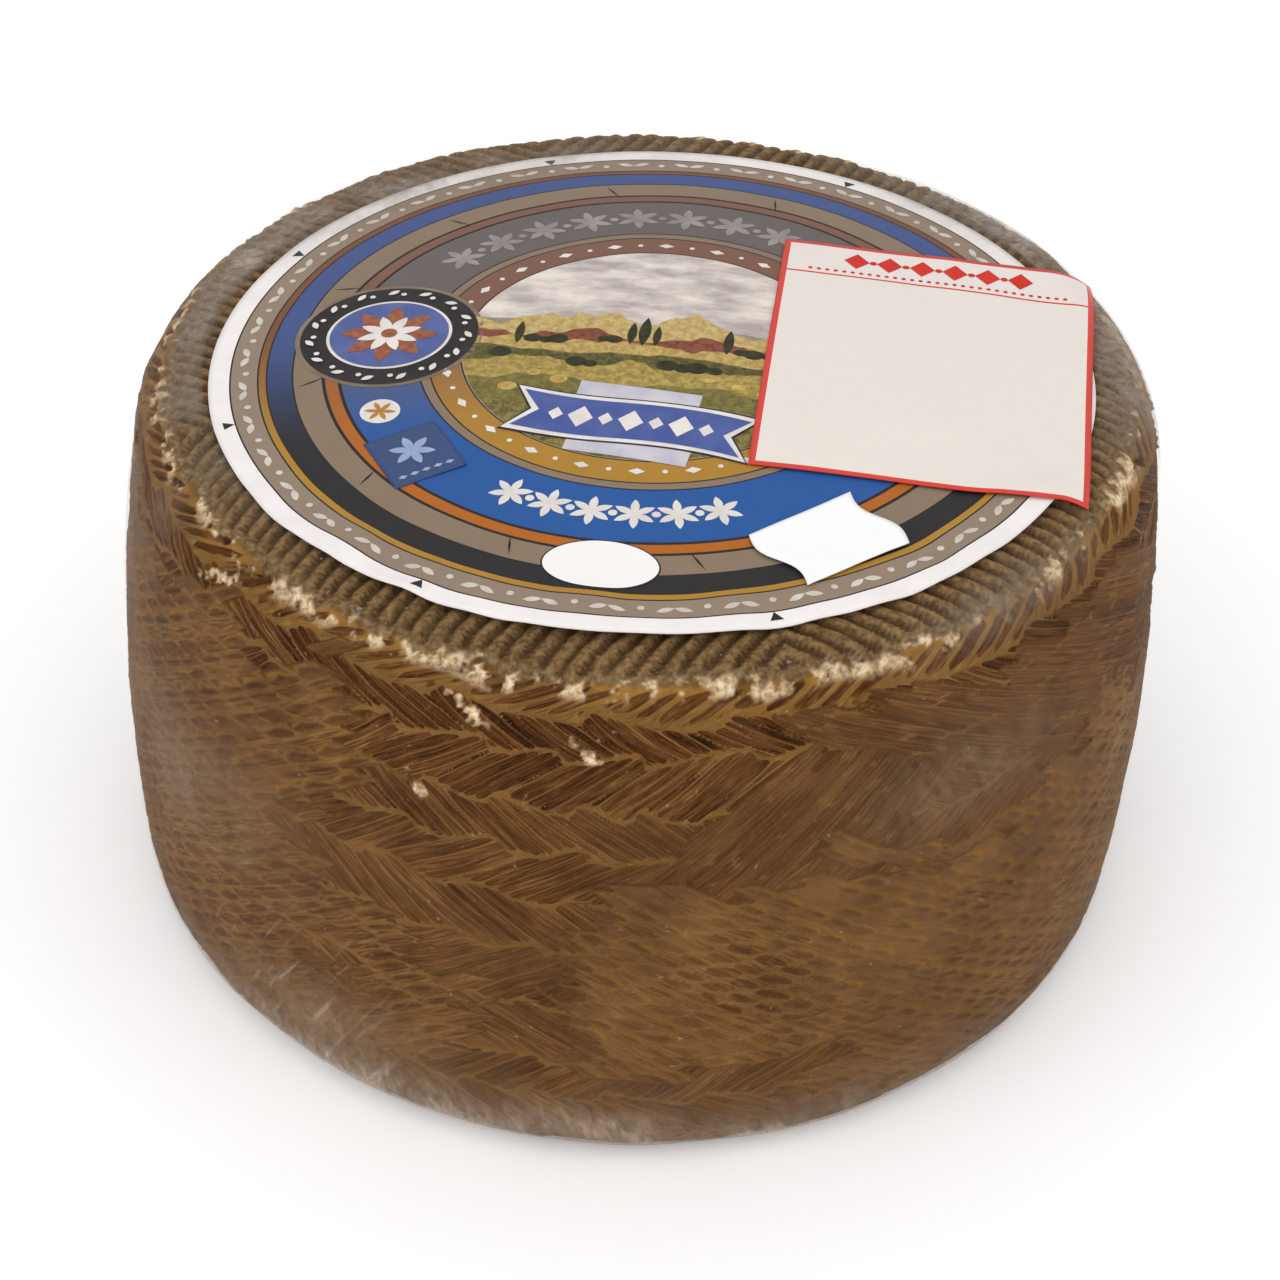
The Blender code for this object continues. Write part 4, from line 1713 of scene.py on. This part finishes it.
    def _band(self, name: str, long: float, high: float, notch: float) -> Object:
        """Models a flat band, which waves if its ends are notched.

        Args:
            name: Its name.
            long: Its length.
            high: Its height.
            notch: How far its ends are cut in.

        Returns:
            The band.
        """
        thing, across, up = grid_piece(name, 40, 10)
        run, rise = across * 2 - 1, up * 2 - 1
        inwards = notch * (1 - np.abs(rise)) * smooth(0.55, 1.0, np.abs(run))
        wave = self.wave * np.sin(math.pi * run) * (notch > 0)
        put_points(thing, np.column_stack([run * (long / 2 - inwards), rise * high / 2 + wave, 0 * run]))
        return thing

    def _small_marks(self) -> None:
        """Prints the bare oval at the front and the small round mark."""
        bare = Ink("bare_paper", "F6F3F1")
        gold = Ink("gold_ink", "C08A3A", "B07A30")
        self._print("oval_line", flat_disc(10.1, 6.4, 64, 6), [Spot(0, -62.7)], BLACK_INK)
        self._print("oval", flat_disc(9.8, 6.1, 64, 6), [Spot(0, -62.7)], bare, 2)
        self._print("round_mark", flat_disc(3.6, 3.6, 32, 3), [self.round_mark], WHITE_INK)
        rays = [self.round_mark.turned(60 * number) for number in range(6)]
        self._print("round_mark_rays", leaf(2.9, 0.9), rays, gold, 2)


def lay_on_label(thing: Object, lift: float) -> None:
    """Drops a flat piece on the label's printed face.

    Args:
        thing: The piece.
        lift: How far off the face it stays.
    """
    places = points_of(thing)
    places[:, 2] = LABEL.paper_height(places[:, 0], places[:, 1]) + lift
    put_points(thing, places)


def give_thickness(thing: Object, thickness: float) -> None:
    """Thickens a sheet downwards from its upper face.

    Args:
        thing: The sheet.
        thickness: How thick it gets.
    """
    face_up(thing)
    select_only(thing)
    wall = thing.modifiers.new("paper", "SOLIDIFY")
    wall.thickness = thickness
    wall.offset = -1
    bpy.ops.object.modifier_apply(modifier=wall.name)


# ---------------------------------------------------------------- stickers


@dataclass
class Sticker:
    """A sticker laid over the wheel's top from a corner, bending down with it at its true size.

    The corner is measured from the wheel's axis.
    """

    name: str
    node: str
    slot: Slot
    corner: tuple[float, float]
    width: float
    length: float
    turn: float
    lift: float
    cells: tuple[int, int]
    wave: float = 0.0
    thickness: float = 0.15 * MM
    ink_lift: float = 0.06 * MM

    def build(self, finish: Material) -> None:
        """Lays the sheet out and finishes it.

        Args:
            finish: The sheet's finish.
        """
        thing, across, up = grid_piece(self.name, *self.cells)
        put_points(thing, self.on_sheet(across * self.width, up * self.length, 0.0))
        add_uv(thing, "sheet", across * self.width / MM, up * self.length / MM)
        give_thickness(thing, self.thickness)
        shade(thing)
        mount(thing, self.slot, finish, self.node)

    def ornament(self, name: str, pattern: Object, spots: list[Spot], ink: Ink) -> None:
        """Prints copies of a flat pattern on the sticker as one piece.

        Args:
            name: The piece's name.
            pattern: The flat shape in millimetres, which is used up.
            spots: Where its copies go.
            ink: Its finish.
        """
        piece = copied(pattern, name, spots, Matrix.Identity(4))
        places = points_of(piece)
        put_points(piece, self.on_sheet(places[:, 0], places[:, 1], self.ink_lift))
        shade(piece)
        mount(piece, self.slot, ink.material(), self.node)

    def on_sheet(self, run: Array, rise: Array, lift: float) -> Array:
        """Finds places on the laid sheet.

        Args:
            run: Lengths along its lower edge.
            rise: Lengths along its left edge.
            lift: How far they are off the sheet.

        Returns:
            The places.
        """
        rows = np.array([self._lay_row(row / self.cells[1]) for row in range(self.cells[1] + 1)])
        column = np.clip(run / self.width * self.cells[0], 0, self.cells[0] - 1e-6)
        row = np.clip(rise / self.length * self.cells[1], 0, self.cells[1] - 1e-6)
        left, low = column.astype(int), row.astype(int)
        on, over = (column - left)[:, None], (row - low)[:, None]
        flat = (rows[low, left] * (1 - on) + rows[low, left + 1] * on) * (1 - over)
        flat += (rows[low + 1, left] * (1 - on) + rows[low + 1, left + 1] * on) * over
        upwards = np.array([-math.sin(self.turn), math.cos(self.turn)])
        ends = np.abs(2 * rise / self.length - 1)
        flat = flat + upwards * (self.wave * np.sin(TAU * run / self.width) * ends)[:, None]
        spot = np.stack([flat[:, 0], flat[:, 1], 0 * run], -1)
        cockle = 0.16 * MM * uneven_noise(spot, 16 * MM, 111) + 0.04 * MM * uneven_noise(spot, 6 * MM, 112)
        height = FORM.top_height(flat[:, 0], flat[:, 1]) + self.lift + cockle
        height += LABEL.cockle(flat[:, 0], flat[:, 1]) + lift
        return np.column_stack([flat, height])

    def _lay_row(self, share: float) -> list[tuple[float, float]]:
        """Lays out one row, whose places get closer where the top falls away under them.

        Args:
            share: How far up the sheet the row is, as a share.

        Returns:
            Its places in plan.
        """
        run = np.array([math.cos(self.turn), math.sin(self.turn)])
        start = np.array(self.corner) + FORM.axis + np.array([-run[1], run[0]]) * share * self.length
        step = self.width / self.cells[0]
        row = [tuple(start)]
        place = start
        for _ in range(self.cells[0]):
            ahead = place + run * step
            fall = float(FORM.top_height(*ahead) - FORM.top_height(*place))
            place = place + run * step / math.hypot(1, fall / step)
            row.append(tuple(place))
        return row


@dataclass(frozen=True)
class StickerFinish:
    """Self-adhesive label stock, slightly glossy, with a printed edge, header and line."""

    name: str
    ground: str
    width: float = 0.0
    length: float = 0.0
    edge: str = ""
    edge_width: float = 1.2
    header: float = 0.0
    header_colour: str = ""
    line_half_width: float = 0.28
    roughness: float = 0.4

    def material(self) -> Material:
        """Makes the finish from the sheet's own millimetres.

        Returns:
            The material.
        """
        material, add, shader = new_material(self.name)
        place = add("TexCoord", out="Object")
        fibres = add("TexNoise", {"Vector": place, "Scale": 1 / (2.5 * MM), "Detail": 5.0})
        shift = add("MapRange", fibres, 0.0, 1.0, 0.97, 1.02)
        colour = add("HueSaturation", {"Color": self._print(add), "Value": shift})
        feed(shader, {"Base Color": colour, "Roughness": self.roughness})
        return material

    def _print(self, add: Add) -> NodeSocket | str:
        """Puts the header field, its line and the edge on the ground colour.

        Args:
            add: What adds a node to the material.

        Returns:
            The colour.
        """
        if not self.edge:
            return self.ground
        sheet = add("UVMap sheet", out="UV")
        half = (self.width / 2, self.length / 2)
        off = add("VectorMath SUBTRACT", sheet, (*half, 0))
        off = add("VectorMath ABSOLUTE", off)
        off = add("VectorMath SUBTRACT", off, (*(side - self.edge_width for side in half), 0))
        beyond = add("Math MAXIMUM", *(add("SeparateXYZ", off, out=axis) for axis in "XY"))
        masks = [(add("Math GREATER_THAN", beyond, 0.0), self.edge)]
        if self.header:
            up = add("SeparateXYZ", sheet, out="Y")
            below = add("Math SUBTRACT", up, self.length - self.header)
            near = add("Math ABSOLUTE", below)
            masks = [
                (add("Math GREATER_THAN", below, 0.0), self.header_colour),
                (add("Math LESS_THAN", near, self.line_half_width), self.edge),
                *masks]
        colour = self.ground
        for mask, over in masks:
            colour = add("Mix RGBA", mask, colour, over)
        return colour


def build_stickers() -> None:
    """Makes the three stickers, and what is printed on two of them."""
    square = Sticker("control_square", "control_sticker", Slot.SQUARE, (-40.0 * MM, -42.6 * MM),
                     13.5 * MM, 14.5 * MM, math.radians(26), 0.92 * MM, (14, 14))
    square.build(StickerFinish("navy_label_stock", "233F72").material())
    frost = Ink("pale_blue_ink", "A9B6D2", "93A3C6")
    rays = [Spot(6.75, 8.4, 60 * number + 30) for number in range(6)]
    square.ornament("square_sprig", leaf(4.2, 1.7), rays, frost)
    row = [Spot(2.4 + 2.2 * number, 2.2) for number in range(5)]
    square.ornament("square_row", flat_disc(0.9, 0.5, 4), row, frost)

    price = Sticker("price_label", "price_sticker", Slot.STICKER, (20.5 * MM, -37.2 * MM),
                    59 * MM, 77 * MM, math.radians(-6.8), 1.3 * MM, (60, 77))
    price.build(StickerFinish("price_label_stock", "E8E0D7", 59, 77, edge="D63322", edge_width=1.15,
                              header=12.0, header_colour="E9DFDA").material())
    red = Ink("red_ink", "D8301E", "CC2A1A")
    for name, disc, first, gap, height, count in (
        ("header_lozenges", (2.4, 2.9, 4), 14, 6.2, 71.2, 6),
        ("header_dots", (0.7, 0.7, 12), 17.1, 6.2, 71.2, 5),
        ("header_row", (0.42, 0.42, 10), 5.5, 1.6, 66.6, 31),
    ):
        row = [Spot(first + gap * number, height) for number in range(count)]
        price.ornament(name, flat_disc(*disc), row, red)

    patch = Sticker("blank_patch", "blank_sticker", Slot.PATCH, (20.2 * MM, -56.5 * MM),
                    16.0 * MM, 21.8 * MM, math.radians(-54), 1.3 * MM, (24, 24), wave=-1.2 * MM)
    patch.build(StickerFinish("bright_white_stock", "FBFBFB").material())


# ---------------------------------------------------------------- film


@dataclass(frozen=True)
class FilmFinish:
    """Clear shrink film: it mirrors softly at a slant, and is hazy in patches, partly with painted sheen.

    The haze takes some of the rind's colour on the side and is greyer on the dry rim.
    """

    # The hazy layer's colours: partly real film haze, partly painted sheen where the lights would mirror in
    # the film.
    milky_sheen: str = "9C7C5E"
    milky_sheen_rim: str = "A8998A"
    # The colour of the scratches and of the pale specks, which are partly painted glints.
    mark: str = "E4DAD2"
    least_mirror: float = 0.038
    wisp: tuple[float, float, float] = (2.0 * MM, 2.0 * MM, 8.0 * MM)
    wisp_lean: tuple[float, float, float] = (math.radians(22), math.radians(-18), 0)
    scratch: tuple[float, float, float] = (0.9 * MM, 0.9 * MM, 28 * MM)
    scratch_lean: tuple[float, float, float] = (math.radians(20), math.radians(28), 0)

    def material(self) -> Material:
        """Makes the finish.

        Returns:
            The material.
        """
        material, add, shader = new_material("clear_shrink_film")
        place = add("TexCoord", out="Object")
        nodes = material.node_tree.nodes
        nodes.remove(shader)
        slack, scuffed, on_rim = (
            add("Attribute " + name, out="Fac") for name in ("slack", "scuffed", "on_rim"))
        fine = add("TexNoise", {"Vector": place, "Scale": 1 / (7 * MM), "Detail": 3.0, "Roughness": 0.5})
        bump = add("Bump", {"Height": fine, "Strength": 0.5, "Distance": 0.25 * MM})
        milky_sheen = self._sheen_and_haze(add, place, slack)
        marks = self._marks(add, place, scuffed)
        milky_sheen = add("Math MAXIMUM", milky_sheen, marks)
        tint = add("Mix RGBA", on_rim, self.milky_sheen, self.milky_sheen_rim)
        tint = add("Mix RGBA", marks, tint, self.mark)
        # A pale diffuse layer: partly film haze, partly painted sheen and glints.
        milk = add("BsdfDiffuse", {"Color": tint})
        clear = add("BsdfTransparent")
        gloss = add("BsdfGlossy", {"Color": (1, 1, 1, 1), "Roughness": 0.16, "Normal": bump})
        mirrored = add("Fresnel", {"IOR": 1.3, "Normal": bump})
        share = add("Math MULTIPLY_ADD", slack, 0.7, self.least_mirror)
        mirrored = add("Math MULTIPLY", mirrored, share)
        see = add("MixShader", milky_sheen, clear, milk)
        whole = add("MixShader", mirrored, see, gloss)
        feed(nodes["Material Output"], {"Surface": whole})
        return material

    def _sheen_and_haze(self, add: Add, place: NodeSocket, slack: NodeSocket) -> NodeSocket:
        """Draws the film's haze and painted sheen out in wisps.

        Args:
            add: What adds a node to the material.
            place: The place on the object.
            slack: How hazy the film is, with its painted sheen.

        Returns:
            How hazy it is, with its painted sheen.
        """
        drawn = add("Mapping TEXTURE", {"Vector": place, "Rotation": self.wisp_lean, "Scale": self.wisp})
        wisps = add("TexNoise", {
            "Vector": drawn, "Scale": 1.0, "Detail": 5.0, "Roughness": 0.65, "Distortion": 0.6})
        uneven = add("MapRange", wisps, 0.35, 0.7, 0.5, 1.5)
        return add("Math MULTIPLY", slack, uneven, use_clamp=True)

    def _marks(self, add: Add, place: NodeSocket, scuffed: NodeSocket) -> NodeSocket:
        """Puts pale scratches and a few pale specks on the film; the specks are partly dirt and partly
        painted glints.

        Args:
            add: What adds a node to the material.
            place: The place on the object.
            scuffed: How scuffed the film is.

        Returns:
            How marked it is.
        """
        drawn = add("Mapping TEXTURE", {
            "Vector": place, "Rotation": self.scratch_lean, "Scale": self.scratch})
        scratch = add("TexNoise", {"Vector": drawn, "Scale": 1.0, "Detail": 1.0, "Roughness": 0.5})
        # Pale specks: partly dirt, partly painted glints.
        dust_and_glints = add("TexNoise", {"Vector": place, "Scale": 1 / (1.6 * MM), "Detail": 2.0, "Roughness": 0.7})
        scratch = add("MapRange", scratch, 0.59, 0.70, 0.0, 0.45)
        dust_and_glints = add("MapRange", dust_and_glints, 0.68, 0.74, 0.0, 0.36)
        speck_share = add("Math MULTIPLY", scuffed, 8.0, use_clamp=True)
        return add("Math MAXIMUM", *(
            add("Math MULTIPLY", *pair) for pair in ((scratch, scuffed), (dust_and_glints, speck_share))))


@dataclass(frozen=True)
class FilmSpot:
    """A patch on the film: hazy with a painted sheen, or scuffed.

    Degrees round the wheel, millimetres down from where the crown ends, half sizes in millimetres.
    """

    angle: float
    down: float
    half_round: float
    half_down: float
    strength: float


@dataclass
class Film:
    """The tight shrink film round the whole wheel."""

    columns: int = 480
    rows: int = 200
    over_paper: float = 0.28 * MM
    over_rind: float = 0.35 * MM
    unevenness: float = 0.25 * MM
    least_lift: float = 0.1 * MM
    scuff: FilmSpot = FilmSpot(232, 92, 24, 18, 0.75)
    # Hazy patches, most where the lights would mirror in the film: partly film haze, partly painted sheen.
    spots: tuple[FilmSpot, ...] = (
        FilmSpot(216, 60, 30, 16, 0.26),
        FilmSpot(304, 34, 22, 14, 0.26),
        FilmSpot(236, 95, 28, 11, 0.34),
        FilmSpot(276, 99, 12, 5, 0.22),
        FilmSpot(314, 8, 26, 5, 0.32),
        FilmSpot(186, 25, 22, 26, 0.16),
        FilmSpot(35, 2, 40, 9, 0.58),
        FilmSpot(5, 6, 34, 10, 0.52),
        FilmSpot(203, 14, 8, 5, 0.30),
        FilmSpot(160, -1, 70, 8, 0.62),
        FilmSpot(262, 105, 90, 10, 0.66),
        FilmSpot(120, -4, 60, 8, 0.40),
        FilmSpot(90, 50, 60, 18, 0.22),
        FilmSpot(150, 75, 40, 14, 0.25),
    )

    def build(self, finish: Material) -> None:
        """Makes the film as one closed skin a little off the rind.

        Args:
            finish: The film's finish.
        """
        start, end = -FORM.round_start, FORM.foot + FORM.base_radius - FORM.base_round
        thing, across, up = grid_piece("shrink_film", self.columns, self.rows)
        angle = np.where(across > 1 - 1e-6, 0.0, across * TAU)
        length = end + (start - end) * up
        plain = FORM.surface(length, angle)
        east, north = plain[:, 0], plain[:, 1]
        from_label = np.hypot(east - LABEL.middle[0], north - LABEL.middle[1]) - LABEL.radius
        over_label = (1 - smooth(0.0, 5 * MM, from_label)) * (length < 0)
        off_paper = LABEL.top + LABEL.cockle(east, north) + self.over_paper
        off_rind = self.over_rind + self.unevenness * uneven_noise(plain, 13 * MM, 121)
        lift = np.maximum(off_rind + (off_paper - off_rind) * over_label, self.least_lift)
        places = FORM.surface(length, angle, np.where(length > FORM.foot, 0.0, lift))
        places[:, 2] = np.maximum(places[:, 2], 0.0)
        put_points(thing, places)
        down = length / MM
        over_front = over_label * (1 - smooth(0.35, 0.8, np.sin(angle)))
        scuffed = np.exp(-self._off(self.scuff, angle, down))
        for name, value in (
            # The film's haze with its painted sheen.
            ("slack", self._sheen_and_haze(down, angle, plain) * (1 - over_front)),
            ("scuffed", (self.scuff.strength * scuffed + 0.12) * (1 - 0.85 * over_label)),
            ("on_rim", 1 - smooth(6.0, 16.0, down) + 0.6 * smooth(94.0, 106.0, down)),
        ):
            add_values(thing, name, value)
        close_seam(thing)
        shade(thing)
        mount(thing, Slot.FILM, finish, "cheese_wheel")

    def _off(self, spot: FilmSpot, angle: Array, down: Array) -> Array:
        """How far each point is from a place's middle, squared, where 1 is its half size."""
        around = turned_from(angle, spot.angle) * GIRTH / spot.half_round
        return around**2 + ((down - spot.down) / spot.half_down) ** 2

    def _sheen_and_haze(self, down: Array, angle: Array, points: Array) -> Array:
        """Works out where the film is hazy, with its painted sheen.

        Args:
            down: Points' millimetres down the outline.
            angle: Their direction.
            points: Their place.

        Returns:
            How hazy it is there.
        """
        milk = 0 * down
        for spot in self.spots:
            milk = np.maximum(milk, spot.strength * np.exp(-1.2 * self._off(spot, angle, down)))
        uneven = 1 + 0.5 * uneven_noise(points, 12 * MM, 122) + 0.3 * uneven_noise(points, 5 * MM, 123)
        return np.clip(milk * uneven, 0, 1)


# ---------------------------------------------------------------- studio


@dataclass
class Studio:
    """A pale floor, soft light and a camera where the photographer stood."""

    stand: tuple[float, float, float] = (-1.2 * MM, -512.6 * MM, 430.9 * MM)
    aim: tuple[float, float, float] = (1.13 * MM, 0.7 * MM, 41.57 * MM)
    roll: float = math.radians(0.508)
    lens: float = 93.85
    sensor: float = 36.0
    floor_radius: float = 6.0

    def build(self) -> None:
        """Sets up everything that isn't the wheel."""
        self._camera()
        self._floor()
        self._lights()

    def _camera(self) -> None:
        """Adds the camera."""
        bpy.ops.object.camera_add(location=self.stand)
        camera = bpy.context.object
        camera.data.lens = self.lens
        camera.data.sensor_width = self.sensor
        towards = Vector(self.aim) - Vector(self.stand)
        turned = towards.to_track_quat("-Z", "Y").to_matrix() @ Matrix.Rotation(self.roll, 3, "Z")
        camera.rotation_euler = turned.to_euler()
        camera.data.clip_start = 0.01
        bpy.context.scene.camera = camera

    def _floor(self) -> None:
        """Adds the pale floor."""
        bpy.ops.mesh.primitive_circle_add(vertices=96, radius=self.floor_radius, fill_type="NGON",
                                          location=(0, 0, -0.1 * MM))
        floor = bpy.context.object
        floor.name = "studio_floor"
        material, _, shader = new_material("matt_white_board")
        feed(shader, {"Base Color": "FFFFFF", "Roughness": 0.9, "Emission Color": "FFFFFF",
                      "Emission Strength": 0.15})
        floor.data.materials.append(material)

    def _lights(self) -> None:
        """Adds the soft boxes and the white room."""
        for name, place, size, power in (
            ("softbox_left", (-1.1, -1.3, 1.1), 2.2, 13.4),
            ("softbox_right", (1.2, -1.2, 1.1), 2.2, 9.0),
            ("softbox_top", (0.0, 0.4, 1.8), 2.2, 6.0),
        ):
            bpy.ops.object.light_add(type="AREA", location=place)
            light = bpy.context.object
            light.name = name
            light.data.size = size
            light.data.energy = power
            light.rotation_euler = (Vector((0, 0, 0.05)) - Vector(place)).to_track_quat("-Z", "Y").to_euler()
        world = bpy.data.worlds.new("white_room")
        world.use_nodes = True
        feed(world.node_tree.nodes["Background"], {"Color": "FFFFFF", "Strength": 0.68})
        bpy.context.scene.world = world
        bpy.context.scene.view_settings.view_transform = "Standard"


def main() -> None:
    """Builds the wheel's looks in order."""
    Studio().build()
    Rind().build(RindFinish().material())
    RoundLabel().build(LabelFinish().material())
    build_stickers()
    Film().build(FilmFinish().material())


if __name__ == "__main__":
    main()
